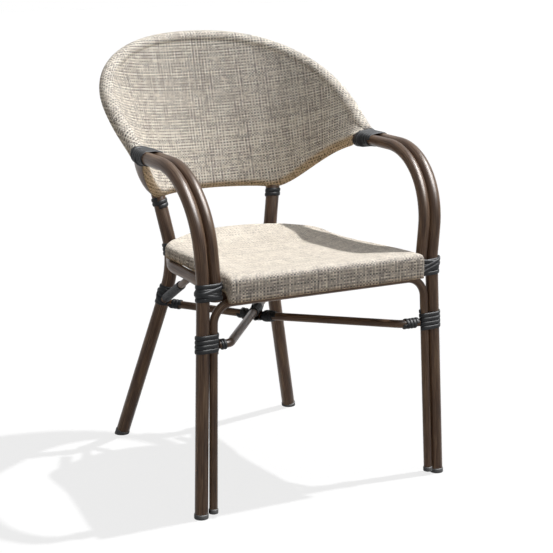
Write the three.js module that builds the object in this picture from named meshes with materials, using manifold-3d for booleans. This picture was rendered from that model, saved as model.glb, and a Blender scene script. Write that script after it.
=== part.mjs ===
// Rattan style bistro armchair: round metal tube painted as dark cane, joints wound with flat strip,
// a woven seat stretched over a bent frame and a woven back stretched from a hoop to a lower bar.
// Millimetres. +Z is up, the front faces -Y, the floor is z = 0. Points are given for the right
// side (+X) and mirrored for the left. At the end the chair is moved so that the origin lies under the
// middle of its bounds.

import * as THREE from 'three';
import { mergeVertices } from 'three/addons/utils/BufferGeometryUtils.js';
import Module from 'manifold-3d';

const wasm = await Module();
wasm.setup();

// Tube diameters.
const armTube = 25;
const innerArmTube = 22;
const rearLegTube = 28;
const hoopTube = 25;
const lowerBarTube = 25;
const thinTube = 16;
const railTube = 22;
const frameTube = 18;
const spreaderTube = 14;
const braceTube = 14;

// Clearances between pieces that touch in the real chair.
const sideGap = 0.4;
const endGap = 0.4;
const sleeveGap = 0.35;
const stripGap = 0.35;

// The lowest point of the seat's crest line, which the back's height is set from.
const crestLow = 450;
const barAboveCrest = 87;
const barLevelHeight = crestLow + barAboveCrest;

// Outer arm and front leg: one tube from the arm joint over the arm's front bend to the floor.
const armRear = { x: 260.5, y: -22, z: 645 };
const armCorner = { x: 263.5, y: -270, z: 646, bend: 145 };
const legWaist = { x: 247.3, y: -270.5, z: 445, bend: 150 };
const frontFoot = { x: 262.5, y: -283.6, z: 0 };
const armSpacing = armTube / 2 + innerArmTube / 2 + sideGap;

// Front U tube: its two legs stand inside the front legs, its top bar passes under the seat's front edge.
const uFoot = { x: 239.2, y: -287.7, z: 7 };
const uCorner = { x: 227.9, y: -272.9, z: 405, bend: 39 };

// The inner arm tube ends just above the U tube's top bar.
const innerArmAboveU = 5;
const innerArmEndHeight = uCorner.z + innerArmAboveU;

// Rear leg: one tube with a slow bend, from the floor up to the lower back bar.
const rearFoot = { x: 205, y: 231.6, z: 0 };
const rearKnee = { x: 110, y: 152, z: 384, bend: 210 };

// Back hoop: a superellipse in a plane that rises to the rear, run level into the arm joint.
const hoopHalfWidth = 262;
const hoopHalfDepth = 251;
const hoopCentreAhead = 80;
const hoopPower = 2.25;
const hoopPlaneY = 12;
const hoopPlaneZ = 661;
const hoopPlaneSlope = 0.61;
const hoopSideKnots = 6;
const hoopKnotAngle = 15;
const hoopRunIn = { x: 258.6, y: 6, z: 656.5 };
const jointRunOut = { x: 261.5, y: -75, z: 646 };

// Lower back bar: an ellipse in plan, level behind the sitter, climbing at both sides to the arm joints.
const barHalfWidth = 262;
const barHalfDepth = 338;
const barCentreY = -117;
const barRise = 106;
const barRisePower = 1.35;
const barCornerAngle = 32.3;
const barLastAngle = 65.5;
const barLevelKnots = 4;
const barWingKnots = 7;
const barJoint = { x: 234.9, y: -22, z: 641 };
const barRunOut = { x: 236, y: -62, z: 644 };
const rearLegInBar = 6.5;
const rearTop = { x: 136.2, y: 175.8, z: barLevelHeight - rearLegInBar };

// Seat side rail: from the U tube's top bar back to the upright.
const railFront = { x: 199.3, y: -264.4, z: 414 };
const railSide = { x: 183.5, y: -80, z: 412.5, bend: 400 };
const railTurn = { x: 180, y: 10, z: 412, bend: 120 };
const railRear = { x: 124.2, y: 141, z: 412 };

// Two spreader bars lie under the seat between the side rails.
const frontSpreader = { x: 230, y: -190, z: 412 };
const rearSpreader = { x: 190, y: 86, z: 410 };

// Cross rods of the leg stretcher. Rod 2 passes over rod 1 at the middle.
const rodFrontX = 218.7;
const rodFrontY = -274;
const rodOneCorner = { x: 185, bend: 30 };
const rodTwoCorner = { x: 195, bend: 20 };
const rodDipBend = 600;
const rodMiddleY = -9;
const rodOneFront = 314.5;
const rodOneMiddle = 294;
const rodOneRear = 297;
const rodTwoFront = 328;
const rodTwoRear = 300;

// Corner brace: from the rear leg's winding forward and up to the underside of the side rail.
const braceFootHeight = 300;
const braceTopY = -85;

// Windings: a flat strip wound side by side.
const stripWidth = 8;
const stripThickness = 2;
const stripBevel = 1.3;
const stripPitch = 8.6;
const windingReach = 9;
const narrowStripShare = 0.84;
const boundLoopSides = 12;
const plainLoopSides = 10;

// Foot caps.
const capWall = 0.9;
const capGap = 0.3;
const capHeight = 9;
const capFloor = 3;

// Seat: a D shaped frame under fabric that stands up as a box round it and sags inside.
const seatFrontCorner = { x: 210.6, y: -305.5, bend: 22 };
const seatWaist = { x: 181, y: -62, bend: 500 };
const seatRearCorner = { x: 185, y: 57, bend: 55 };
const seatRearPoint = { x: 0, y: 150, bend: 220 };
const crestLowY = 8;
const crestFrontRise = 9.4;
const crestFrontSpan = 300;
const crestRearRise = 8.5;
const crestRearSpan = 85;
const skirtBottom = 426;
const apronBottom = 411;
const apronTurnFrom = -301;
const apronTurnTo = -284;
const seatFabric = 2.2;
const seatFabricGap = 0.8;
const seatSag = 13;
const sideRollWidth = 31;
const endSagRun = 110;
const seatInsets = [5, 10];
const seatShares = [0.1, 0.24, 0.45, 0.72];
const seatMiddleY = -95;
const seatStepLength = 60;
const sideNormalShare = 0.7;

// Lugs between the side rails and the seat frame.
const lugLength = 22;
const lugWidth = 8;
const lugPlaces = [-215, -8];
const lugTrim = 2.5;

// Back fabric: a sleeve round the hoop and one sheet down to the lower bar.
const sleeveWall = 1.5;
const sheetThickness = 1.3;
const sheetGap = 1.4;
const sheetLap = 5;
const sheetReach = 0.93;
const sheetRows = 5;

// Fineness of the rounds.
const mainSides = 12;
const smallSides = 10;
const hoopSides = 10;
const bendStep = 10 * Math.PI / 180;
const outlineBendStep = 18 * Math.PI / 180;
const hoopSteps = 30;
const barSteps = 34;

const paintColour = 0x4a3a30;
const stripColour = 0x2f3133;
const fabricColour = 0xb5a898;
const rubberColour = 0x1b1b1c;

const chair = new THREE.Group();
chair.name = 'rattan_bistro_chair';

const paint = { name: 'cane_paint', color: paintColour, roughness: 0.42, metalness: 0 };
const strip = { name: 'binding_strip', color: stripColour, roughness: 0.4, metalness: 0 };
const fabric = { name: 'woven_fabric', color: fabricColour, roughness: 0.92, metalness: 0 };
const rubber = { name: 'foot_cap', color: rubberColour, roughness: 0.7, metalness: 0 };

function addPiece(name, geometry, look) {
  const { name: materialName, ...values } = look;
  const material = new THREE.MeshStandardMaterial(values);
  material.name = materialName;
  const piece = new THREE.Mesh(geometry, material);
  piece.name = name;
  chair.add(piece);
}

// Points and paths.

function spot(place, side = 1) {
  return new THREE.Vector3(side * place.x, place.y, place.z);
}

function bendStations(before, corner, after, bend, finest) {
  const entering = corner.clone().sub(before).normalize();
  const leaving = after.clone().sub(corner).normalize();
  const turn = entering.angleTo(leaving);
  const across = leaving.clone().addScaledVector(entering, -leaving.dot(entering)).normalize();
  const start = corner.clone().addScaledVector(entering, -bend * Math.tan(turn / 2));
  const count = Math.max(2, Math.ceil(turn / finest));
  const stations = [];
  for (let i = 0; i <= count; i += 1) {
    const angle = turn * i / count;
    const along = start.clone().addScaledVector(entering, bend * Math.sin(angle));
    stations.push(along.addScaledVector(across, bend * (1 - Math.cos(angle))));
  }
  return stations;
}

// A path of straight runs joined by round bends. Corners without a bend are its ends.
function bentPath(corners, finest = bendStep) {
  return corners.flatMap(({ at, bend }, i) => {
    if (!bend) return [at.clone()];
    return bendStations(corners[i - 1].at, at, corners[i + 1].at, bend, finest);
  });
}

function sidePath(places, side) {
  return bentPath(places.map((place) => ({ at: spot(place, side), bend: place.bend })));
}

// A smooth path through knots, taken between its second and its last but one knot.
function smoothPath(knots, steps) {
  const curve = new THREE.CatmullRomCurve3(knots, false, 'centripetal');
  const knotShare = 1 / (knots.length - 1);
  const stations = [];
  for (let i = 0; i <= steps; i += 1) {
    stations.push(curve.getPoint(knotShare + (1 - 2 * knotShare) * i / steps));
  }
  return stations;
}

// A path whose stations are exactly the given points, with mitred directions at them. Where its ends
// must be cut level with Y, they are faced so.
class StationCurve extends THREE.Curve {
  constructor(stations, facedEnds) {
    super();
    this.stations = stations;
    this.facedEnds = facedEnds;
  }

  getPoint(share, target = new THREE.Vector3()) {
    const place = share * (this.stations.length - 1);
    const index = Math.min(Math.floor(place), this.stations.length - 2);
    return target.lerpVectors(this.stations[index], this.stations[index + 1], place - index);
  }

  getPointAt(share, target) {
    return this.getPoint(share, target);
  }

  getTangentAt(share, target = new THREE.Vector3()) {
    const index = Math.round(share * (this.stations.length - 1));
    target.copy(directionAt(this.stations, index));
    const atEnd = index === 0 || index === this.stations.length - 1;
    return atEnd && this.facedEnds ? target.set(0, Math.sign(target.y), 0) : target;
  }
}

function directionAt(stations, index) {
  const here = stations[index];
  const before = stations[Math.max(index - 1, 0)];
  const after = stations[Math.min(index + 1, stations.length - 1)];
  const direction = new THREE.Vector3();
  if (index > 0) direction.add(here.clone().sub(before).normalize());
  if (index < stations.length - 1) direction.add(after.clone().sub(here).normalize());
  return direction.normalize();
}

function ringPoints(radius, sides) {
  const points = [];
  for (let i = 0; i < sides; i += 1) {
    const angle = 2 * Math.PI * i / sides;
    points.push(new THREE.Vector2(radius * Math.cos(angle), radius * Math.sin(angle)));
  }
  return points;
}

function tube(stations, diameter, sides = mainSides, bore = 0, facedEnds = false) {
  const shape = new THREE.Shape(ringPoints(diameter / 2, sides));
  if (bore > 0) shape.holes.push(new THREE.Path(ringPoints(bore / 2, sides)));
  return new THREE.ExtrudeGeometry(shape, {
    steps: stations.length - 1,
    bevelEnabled: false,
    extrudePath: new StationCurve(stations, facedEnds),
  });
}

// Solid joins and cuts.

function toSolid(geometry) {
  const bare = geometry.clone();
  bare.deleteAttribute('normal');
  bare.deleteAttribute('uv');
  const merged = mergeVertices(bare);
  return new wasm.Manifold(new wasm.Mesh({
    numProp: 3,
    vertProperties: new Float32Array(merged.attributes.position.array),
    triVerts: new Uint32Array(merged.index.array),
  }));
}

function toGeometry(solid) {
  const mesh = solid.getMesh();
  const geometry = new THREE.BufferGeometry();
  geometry.setAttribute('position', new THREE.BufferAttribute(new Float32Array(mesh.vertProperties), 3));
  geometry.setIndex(new THREE.BufferAttribute(new Uint32Array(mesh.triVerts), 1));
  geometry.computeVertexNormals();
  return geometry;
}

// The room a tube needs, wide enough for the flats of its own rounding.
function tubeRoom(stations, diameter, gap, sides = mainSides) {
  return toSolid(tube(stations, (diameter + 2 * gap) / Math.cos(Math.PI / sides), sides));
}

function cutFrom(geometry, rooms) {
  let solid = toSolid(geometry);
  rooms.forEach((room) => {
    solid = solid.subtract(room);
  });
  return toGeometry(solid);
}

// Closed lofts: rings of equal length joined in turn, the first and the last closed to a point.

function loftGeometry(rings, firstPoint, lastPoint) {
  const count = rings[0].length;
  const points = [...rings.flat(), firstPoint, lastPoint];
  const first = points.length - 2;
  const last = points.length - 1;
  const faces = [];
  for (let i = 0; i < count; i += 1) {
    const next = (i + 1) % count;
    faces.push(first, next, i);
    for (let r = 0; r < rings.length - 1; r += 1) {
      const low = r * count;
      const high = low + count;
      faces.push(low + i, low + next, high + next);
      faces.push(low + i, high + next, high + i);
    }
    const top = (rings.length - 1) * count;
    faces.push(top + i, top + next, last);
  }
  return meshFrom(points, faces);
}

function meshFrom(points, faces) {
  const geometry = new THREE.BufferGeometry();
  geometry.setAttribute('position', new THREE.Float32BufferAttribute(points.flatMap((p) => p.toArray()), 3));
  geometry.setIndex(faces);
  geometry.computeVertexNormals();
  return geometry;
}

// Faces between the loops of neighbouring sections. A section holds stride points, and its loop is count
// of them from the first on.
function runFaces(first, count, stride, runs) {
  const faces = [];
  for (let s = 0; s < runs; s += 1) {
    const here = s * stride + first;
    const there = here + stride;
    for (let i = 0; i < count; i += 1) {
      const next = (i + 1) % count;
      faces.push(here + i, here + next, there + next);
      faces.push(here + i, there + next, there + i);
    }
  }
  return faces;
}

// A strip of constant section carried through rings of section points, with flat ends.
function stripGeometry(sections) {
  const count = sections[0].length;
  const points = sections.flat();
  const faces = runFaces(0, count, count, sections.length - 1);
  const end = (sections.length - 1) * count;
  for (let i = 1; i < count - 1; i += 1) {
    faces.push(0, i + 1, i);
    faces.push(end, end + i, end + i + 1);
  }
  return meshFrom(points, faces);
}

// Main tube paths.

const hoopTilt = Math.atan(hoopPlaneSlope);

function hoopPoint(degrees) {
  const angle = degrees * Math.PI / 180;
  const power = 2 / hoopPower;
  const ahead = Math.sign(Math.cos(angle)) * Math.abs(Math.cos(angle)) ** power;
  const aside = Math.sign(Math.sin(angle)) * Math.abs(Math.sin(angle)) ** power;
  const run = hoopCentreAhead + hoopHalfDepth * ahead;
  const y = hoopPlaneY + run * Math.cos(hoopTilt);
  return new THREE.Vector3(hoopHalfWidth * aside, y, hoopPlaneZ + hoopPlaneSlope * (y - hoopPlaneY));
}

function hoopPath() {
  const knots = [spot(jointRunOut, -1), spot(armRear, -1), spot(hoopRunIn, -1)];
  for (let i = -hoopSideKnots; i <= hoopSideKnots; i += 1) {
    knots.push(hoopPoint(i * hoopKnotAngle));
  }
  knots.push(spot(hoopRunIn), spot(armRear), spot(jointRunOut));
  return smoothPath(knots, hoopSteps);
}

function barPlan(degrees) {
  const angle = degrees * Math.PI / 180;
  return { x: barHalfWidth * Math.sin(angle), y: barCentreY + barHalfDepth * Math.cos(angle) };
}

// The share of the climb at a plan angle, by the plan angle that is left to the joint.
function barPoint(degrees) {
  const { x, y } = barPlan(degrees);
  const jointAngle = Math.acos((armRear.y - barCentreY) / barHalfDepth) * 180 / Math.PI;
  const share = Math.max(0, (Math.abs(degrees) - barCornerAngle) / (jointAngle - barCornerAngle));
  const climb = Math.sin(share * Math.PI / 2) ** barRisePower;
  return new THREE.Vector3(x, y, barLevelHeight + barRise * climb);
}

function barAngles() {
  const angles = [];
  for (let i = 0; i < barLevelKnots; i += 1) {
    angles.push(barCornerAngle * i / barLevelKnots);
  }
  for (let i = 0; i <= barWingKnots; i += 1) {
    angles.push(barCornerAngle + (barLastAngle - barCornerAngle) * i / barWingKnots);
  }
  return angles;
}

function barPath() {
  const angles = barAngles();
  const right = [...angles.map(barPoint), spot(barJoint), spot(barRunOut)];
  const left = right.slice(1).reverse().map((p) => new THREE.Vector3(-p.x, p.y, p.z));
  return smoothPath([...left, ...right], barSteps);
}

function shortened(stations, fromStart, fromEnd) {
  const result = stations.map((p) => p.clone());
  const last = result.length - 1;
  const startRun = result[1].clone().sub(result[0]).normalize();
  const endRun = result[last - 1].clone().sub(result[last]).normalize();
  result[0].addScaledVector(startRun, fromStart);
  result[last].addScaledVector(endRun, fromEnd);
  return result;
}

function shareAlong(from, to, share) {
  return from.clone().lerp(to, share);
}

function innerArmPlaces() {
  const inboard = (place) => ({ ...place, x: place.x - armSpacing });
  const share = (legWaist.z - innerArmEndHeight) / (legWaist.z - frontFoot.z);
  const end = shareAlong(spot(legWaist), spot(frontFoot), share);
  return [inboard(armRear), inboard(armCorner), inboard(legWaist), inboard(end)];
}

// The height at which a foot's tube ends, so that its square end clears the cap's floor.
function footEnd(foot, next, diameter) {
  const run = spot(next).sub(spot(foot));
  const tilt = run.angleTo(new THREE.Vector3(0, 0, 1));
  const height = capFloor + endGap + diameter / 2 * Math.sin(tilt);
  return shareAlong(spot(foot), spot(next), height / run.z);
}

const hoopLine = hoopPath();
const barLine = barPath();

function legLine(places, foot, next, diameter, side) {
  const end = footEnd(foot, next, diameter);
  return sidePath([...places, { x: end.x, y: end.y, z: end.z }], side);
}

const paths = {};
[['left', -1], ['right', 1]].forEach(([name, side]) => {
  paths[name] = {
    arm: legLine([armRear, armCorner, legWaist], frontFoot, legWaist, armTube, side),
    innerArm: sidePath(innerArmPlaces(), side),
    rearLeg: legLine([rearTop, rearKnee], rearFoot, rearKnee, rearLegTube, side),
    rail: sidePath([railFront, railSide, railTurn, railRear], side),
  };
});

function uPath() {
  const end = footEnd(uFoot, uCorner, thinTube);
  const right = [{ at: end }, { at: spot(uCorner), bend: uCorner.bend }];
  const left = right.map(({ at, bend }) => ({ at: new THREE.Vector3(-at.x, at.y, at.z), bend })).reverse();
  return bentPath([...right, ...left]);
}

const uLine = uPath();

// The rear leg's centre at a height, between its foot and its knee.
function rearLegAt(height, side) {
  const share = (height - rearFoot.z) / (rearKnee.z - rearFoot.z);
  return shareAlong(spot(rearFoot, side), spot(rearKnee, side), share);
}

function rodPath(frontSide, corner, frontHeight, middleHeight, rearHeight) {
  const start = new THREE.Vector3(frontSide * rodFrontX, rodFrontY, frontHeight);
  const vertex = new THREE.Vector3(frontSide * corner.x, rodFrontY, frontHeight);
  const legCentre = rearLegAt(rearHeight, -frontSide);
  const middle = middleHeight === null ? shareAlong(vertex, legCentre, 0.5)
    : new THREE.Vector3(0, rodMiddleY, middleHeight);
  const corners = [{ at: start }, { at: vertex, bend: corner.bend }];
  if (middleHeight !== null) corners.push({ at: middle, bend: rodDipBend });
  return bentPath([...corners, { at: legCentre }]);
}

const rodOneLine = rodPath(1, rodOneCorner, rodOneFront, rodOneMiddle, rodOneRear);
const rodTwoLine = rodPath(-1, rodTwoCorner, rodTwoFront, null, rodTwoRear);

function spreaderPath(place) {
  return [spot(place, -1), spot(place)];
}

const frontSpreaderLine = spreaderPath(frontSpreader);
const rearSpreaderLine = spreaderPath(rearSpreader);

// The point of a path that runs front to back at a distance from the chair's middle.
function pathAtY(line, y) {
  return crossingAt(line, new THREE.Vector3(), new THREE.Vector3(0, 1, 0), y).point;
}

function bracePath(name, side) {
  return [rearLegAt(braceFootHeight, side), pathAtY(paths[name].rail, braceTopY)];
}

// Seat outline, crest and sagging surface.

function seatOutline() {
  const flat = (place, side) => new THREE.Vector3(side * place.x, place.y, 0);
  const right = [seatFrontCorner, seatWaist, seatRearCorner];
  const left = [...right].reverse();
  const corners = [
    ...right.map((place) => ({ at: flat(place, 1), bend: place.bend })),
    { at: flat(seatRearPoint, 1), bend: seatRearPoint.bend },
    ...left.map((place) => ({ at: flat(place, -1), bend: place.bend })),
  ];
  const middle = new THREE.Vector3(0, seatFrontCorner.y, 0);
  const path = bentPath([{ at: middle }, ...corners, { at: middle }], outlineBendStep);
  return evenly(path.slice(0, -1));
}

// Adds stations to the long straight runs of a closed outline.
function evenly(outline) {
  return outline.flatMap((here, i) => {
    const next = outline[(i + 1) % outline.length];
    const count = Math.max(1, Math.round(here.distanceTo(next) / seatStepLength));
    const run = [];
    for (let k = 0; k < count; k += 1) run.push(shareAlong(here, next, k / count));
    return run;
  });
}

function outlineNormals(outline) {
  return outline.map((here, i) => {
    const before = outline[(i + outline.length - 1) % outline.length];
    const after = outline[(i + 1) % outline.length];
    const run = here.clone().sub(before).normalize().add(after.clone().sub(here).normalize());
    return new THREE.Vector3(run.y, -run.x, 0).normalize();
  });
}

function crestAt(y) {
  if (y < crestLowY) {
    return crestLow + crestFrontRise * THREE.MathUtils.smoothstep(crestLowY - y, 0, crestFrontSpan);
  }
  const share = Math.min((y - crestLowY) / crestRearSpan, 1);
  return crestLow + crestRearRise * share * share;
}

function skirtEndAt(y) {
  const share = THREE.MathUtils.smoothstep(y, apronTurnFrom, apronTurnTo);
  return THREE.MathUtils.lerp(apronBottom, skirtBottom, share);
}

const outline = seatOutline();
const normals = outlineNormals(outline);
const rimTurn = Math.PI / 2;
const rimBore = (frameTube / 2 + seatFabricGap) / Math.cos(rimTurn / 4);
const rimRadius = rimBore + seatFabric;

function segmentDistance(point, from, to) {
  const run = to.clone().sub(from);
  const share = THREE.MathUtils.clamp(point.clone().sub(from).dot(run) / run.lengthSq(), 0, 1);
  return point.distanceTo(from.clone().addScaledVector(run, share));
}

// Distances from a plan point to the outline's sides and to its front and rear edges.
function edgeDistances(point) {
  const flat = new THREE.Vector3(point.x, point.y, 0);
  const distances = { side: Infinity, end: Infinity };
  outline.forEach((from, i) => {
    const to = outline[(i + 1) % outline.length];
    const kind = Math.abs(normals[i].x) > sideNormalShare ? 'side' : 'end';
    distances[kind] = Math.min(distances[kind], segmentDistance(flat, from, to));
  });
  return distances;
}

function seatTopAt(point) {
  const { side, end } = edgeDistances(point);
  const sideShare = THREE.MathUtils.smoothstep(side - rimRadius, 0, sideRollWidth);
  const endShare = THREE.MathUtils.smoothstep(end - rimRadius, 0, endSagRun);
  return crestAt(point.y) - seatSag * sideShare * endShare;
}

function insetPoint(i, inset, height) {
  const point = outline[i].clone().addScaledVector(normals[i], -inset);
  point.z = height;
  return point;
}

// A ring round the rim at an angle above the frame's axis, on a radius round the frame.
function rimRing(radius, angle) {
  return outline.map((place, i) => {
    const axisHeight = crestAt(place.y) - rimRadius;
    return insetPoint(i, rimRadius - radius * Math.cos(angle), axisHeight + radius * Math.sin(angle));
  });
}

function skirtRing(radius) {
  return outline.map((place, i) => insetPoint(i, rimRadius - radius, skirtEndAt(place.y)));
}

function surfaceRings(drop) {
  const middle = new THREE.Vector3(0, seatMiddleY, 0);
  const inset = seatInsets.map((step) => outline.map((place, i) => insetPoint(i, rimRadius + step, 0)));
  const lastInset = inset[inset.length - 1];
  const shared = seatShares.map((share) => lastInset.map((point) => shareAlong(point, middle, share)));
  return [...inset, ...shared].map((ring) => ring.map((point) => {
    point.z = seatTopAt(point) - drop;
    return point;
  }));
}

function seatSling() {
  const upper = [rimRing(rimRadius, 0), rimRing(rimRadius, rimTurn / 2), rimRing(rimRadius, rimTurn)];
  const under = [rimRing(rimBore, rimTurn), rimRing(rimBore, rimTurn / 2), rimRing(rimBore, 0)];
  const rings = [
    ...surfaceRings(seatFabric).reverse(), ...under, skirtRing(rimBore),
    skirtRing(rimRadius), ...upper, ...surfaceRings(0),
  ];
  const middle = new THREE.Vector3(0, seatMiddleY, 0);
  const topPoint = middle.clone().setZ(seatTopAt(middle));
  const underPoint = middle.clone().setZ(topPoint.z - seatFabric);
  return loftGeometry(rings, underPoint, topPoint);
}

function seatFramePath() {
  const rearIndex = outline.reduce((best, place, i) => (place.y > outline[best].y ? i : best), 0);
  const axis = outline.map((place, i) => insetPoint(i, rimRadius, crestAt(place.y) - rimRadius));
  const turned = [...axis.slice(rearIndex), ...axis.slice(0, rearIndex + 1)];
  return shortened(turned, endGap, endGap);
}

const seatFrameLine = seatFramePath();

function outlineHalfWidth(y) {
  let width = 0;
  outline.forEach((from, i) => {
    const to = outline[(i + 1) % outline.length];
    const share = (y - from.y) / (to.y - from.y);
    if (from.x > 0 && share >= 0 && share <= 1) width = Math.max(width, from.x + share * (to.x - from.x));
  });
  return width;
}

// The crossing of a path with a plane square to a direction.
function crossingAt(stations, origin, direction, distance) {
  for (let i = 0; i < stations.length - 1; i += 1) {
    const from = stations[i].clone().sub(origin).dot(direction) - distance;
    const to = stations[i + 1].clone().sub(origin).dot(direction) - distance;
    if (from * to <= 0 && from !== to) {
      const point = shareAlong(stations[i], stations[i + 1], from / (from - to));
      const run = stations[i + 1].clone().sub(stations[i]).normalize();
      return { point, slant: Math.max(Math.abs(run.dot(direction)), 0.5) };
    }
  }
  return null;
}

// Windings.

function windingFrame(from, to, members) {
  const along = to.clone().sub(from).normalize();
  const centres = members.map(({ line }) => crossingAt(line, from, along, 0)).filter((hit) => hit);
  const spread = centres.length > 1
    ? centres[centres.length - 1].point.clone().sub(centres[0].point)
    : new THREE.Vector3(0, 0, 1).cross(along);
  if (spread.lengthSq() === 0) spread.set(1, 0, 0);
  const across = spread.addScaledVector(along, -spread.dot(along)).normalize();
  return { origin: from, along, across, up: along.clone().cross(across) };
}

// Where the members of a winding stand in the plane at a distance along it.
function membersAt(frame, members, distance) {
  const found = members.map(({ line, diameter }) => {
    const hit = crossingAt(line, frame.origin, frame.along, distance);
    if (!hit) return null;
    const offset = hit.point.sub(frame.origin);
    return { x: offset.dot(frame.across), y: offset.dot(frame.up), radius: diameter / 2 / hit.slant };
  });
  return found.filter((member) => member);
}

function supportLine(circles, angle, extra) {
  const reach = circles.map(({ x, y, radius }) => x * Math.cos(angle) + y * Math.sin(angle) + radius);
  return Math.max(...reach) + extra;
}

// The corner between two lines that touch the members on both sides of an angle.
function hullCorner(frame, members, angle, distance, step, extra) {
  const circles = membersAt(frame, members, distance);
  const low = angle - step / 2;
  const high = angle + step / 2;
  const lowReach = supportLine(circles, low, extra);
  const highReach = supportLine(circles, high, extra);
  const x = (lowReach * Math.sin(high) - highReach * Math.sin(low)) / Math.sin(step);
  const y = (highReach * Math.cos(low) - lowReach * Math.cos(high)) / Math.sin(step);
  return frame.origin.clone().addScaledVector(frame.along, distance)
    .addScaledVector(frame.across, x).addScaledVector(frame.up, y);
}

function windingSections({ from, to, members, loops, pitch, width, steps }) {
  const frame = windingFrame(from, to, members);
  const length = from.distanceTo(to);
  const first = (length - pitch * loops) / 2;
  const step = 2 * Math.PI / steps;
  const sections = [];
  for (let k = 0; k <= loops * steps; k += 1) {
    const angle = step / 2 + step * k;
    const place = first + pitch * k / steps;
    const corner = (shift, extra) => hullCorner(frame, members, angle, place + shift, step, extra);
    const half = width / 2;
    const outside = stripGap + stripThickness;
    sections.push([
      corner(-half, stripGap), corner(half, stripGap),
      corner(half - stripBevel, outside), corner(stripBevel - half, outside),
    ]);
  }
  return sections;
}

// The least distance between a loop's points and the loop after it.
function leastLoopGap(sections, steps) {
  let least = Infinity;
  for (let s = 0; s + steps < sections.length; s += 1) {
    for (let near = s + steps - 1; near <= Math.min(s + steps + 1, sections.length - 1); near += 1) {
      sections[s].forEach((a) => sections[near].forEach((b) => {
        least = Math.min(least, a.distanceTo(b));
      }));
    }
  }
  return least;
}

const loopGaps = [];

function winding(name, places) {
  const steps = places.members.length > 1 ? boundLoopSides : plainLoopSides;
  const share = places.share ?? 1;
  const turns = { pitch: stripPitch * share, width: stripWidth * share, steps, ...places };
  const sections = windingSections(turns);
  loopGaps.push([name, leastLoopGap(sections, steps)]);
  addPiece(name, stripGeometry(sections), strip);
}

// Frame pieces.

// A tube that butts against the arm's tube under the arm joint's winding.
function jointTube(line, diameter, sides) {
  return tube(shortened(line, endGap / 2, endGap / 2), diameter, sides, 0, true);
}

addPiece('back_hoop', jointTube(hoopLine, hoopTube, hoopSides), paint);
addPiece('back_lower_bar', jointTube(barLine, lowerBarTube, mainSides), paint);
addPiece('front_u_tube', tube(uLine, thinTube, smallSides), paint);

const barRoom = tubeRoom(barLine, lowerBarTube, endGap);
const uRoom = tubeRoom(uLine, thinTube, endGap, smallSides);

[['left', -1], ['right', 1]].forEach(([name, side]) => {
  const line = paths[name];
  addPiece(`arm_front_leg_${name}`, tube(shortened(line.arm, endGap / 2, 0), armTube), paint);
  addPiece(`inner_arm_${name}`, tube(shortened(line.innerArm, endGap / 2, 0), innerArmTube), paint);
  addPiece(`rear_leg_${name}`, cutFrom(tube(line.rearLeg, rearLegTube), [barRoom]), paint);
  addPiece(`seat_rail_${name}`, cutFrom(tube(line.rail, railTube), [uRoom]), paint);
});

const railRooms = [paths.left, paths.right].map(({ rail }) => tubeRoom(rail, railTube, endGap));
const boundLegTube = (rearLegTube + 2 * (stripGap + stripThickness)) / Math.cos(Math.PI / plainLoopSides);
const boundLegRooms = [paths.left, paths.right].map(({ rearLeg }) => tubeRoom(rearLeg, boundLegTube, endGap));

[['left', -1], ['right', 1]].forEach(([name, side]) => {
  const brace = tube(bracePath(name, side), braceTube, smallSides);
  addPiece(`corner_brace_${name}`, cutFrom(brace, [...boundLegRooms, ...railRooms]), paint);
});

// A spreader bar trimmed where it meets the rails, with nothing left outside them.
function spreader(line) {
  const solid = railRooms.reduce((rest, room) => rest.subtract(room), toSolid(tube(line, spreaderTube, smallSides)));
  const pieces = solid.decompose().sort((a, b) => b.volume() - a.volume());
  return toGeometry(pieces[0]);
}

addPiece('seat_spreader_front', spreader(frontSpreaderLine), paint);
addPiece('seat_spreader_rear', spreader(rearSpreaderLine), paint);
addPiece('cross_rod_1', cutFrom(tube(rodOneLine, thinTube, smallSides), boundLegRooms), paint);
addPiece('cross_rod_2', cutFrom(tube(rodTwoLine, thinTube, smallSides), boundLegRooms), paint);
addPiece('seat_frame', tube(seatFrameLine, frameTube, smallSides), paint);

const frameRoom = tubeRoom(seatFrameLine, frameTube, endGap, smallSides);

function seatLug(y, side) {
  const railHit = pathAtY(paths.right.rail, y);
  const frameX = outlineHalfWidth(y) - rimRadius;
  const frameZ = crestAt(y) - rimRadius;
  const height = frameZ - railHit.z - 2 * lugTrim;
  const block = new THREE.BoxGeometry(lugWidth, lugLength, height);
  block.translate(side * (railHit.x + frameX) / 2, y, (railHit.z + frameZ) / 2);
  return cutFrom(block, [...railRooms, frameRoom]);
}

[['left', -1], ['right', 1]].forEach(([name, side]) => {
  lugPlaces.forEach((y, i) => addPiece(`seat_lug_${name}_${i + 1}`, seatLug(y, side), paint));
});

// Fabric.

addPiece('seat_sling', seatSling(), fabric);

function pathAt(stations, share) {
  const total = pathLength(stations);
  let left = share * total;
  for (let i = 0; i < stations.length - 1; i += 1) {
    const run = stations[i].distanceTo(stations[i + 1]);
    if (left <= run || i === stations.length - 2) {
      return shareAlong(stations[i], stations[i + 1], Math.min(left / run, 1));
    }
    left -= run;
  }
  return stations[stations.length - 1].clone();
}

function pathLength(stations) {
  let total = 0;
  for (let i = 0; i < stations.length - 1; i += 1) {
    total += stations[i].distanceTo(stations[i + 1]);
  }
  return total;
}

// A path's direction at a share of its length.
function runAt(line, share) {
  const ahead = 1 / (2 * hoopSteps);
  return pathAt(line, share + ahead).sub(pathAt(line, share - ahead)).normalize();
}

// The part of a path between two shares of its length, with all its own stations between them.
function partOf(line, from, to) {
  const total = pathLength(line);
  const inner = line.filter((point, i) => {
    const share = pathLength(line.slice(0, i + 1)) / total;
    return share > from && share < to;
  });
  return [pathAt(line, from), ...inner, pathAt(line, to)];
}

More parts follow.
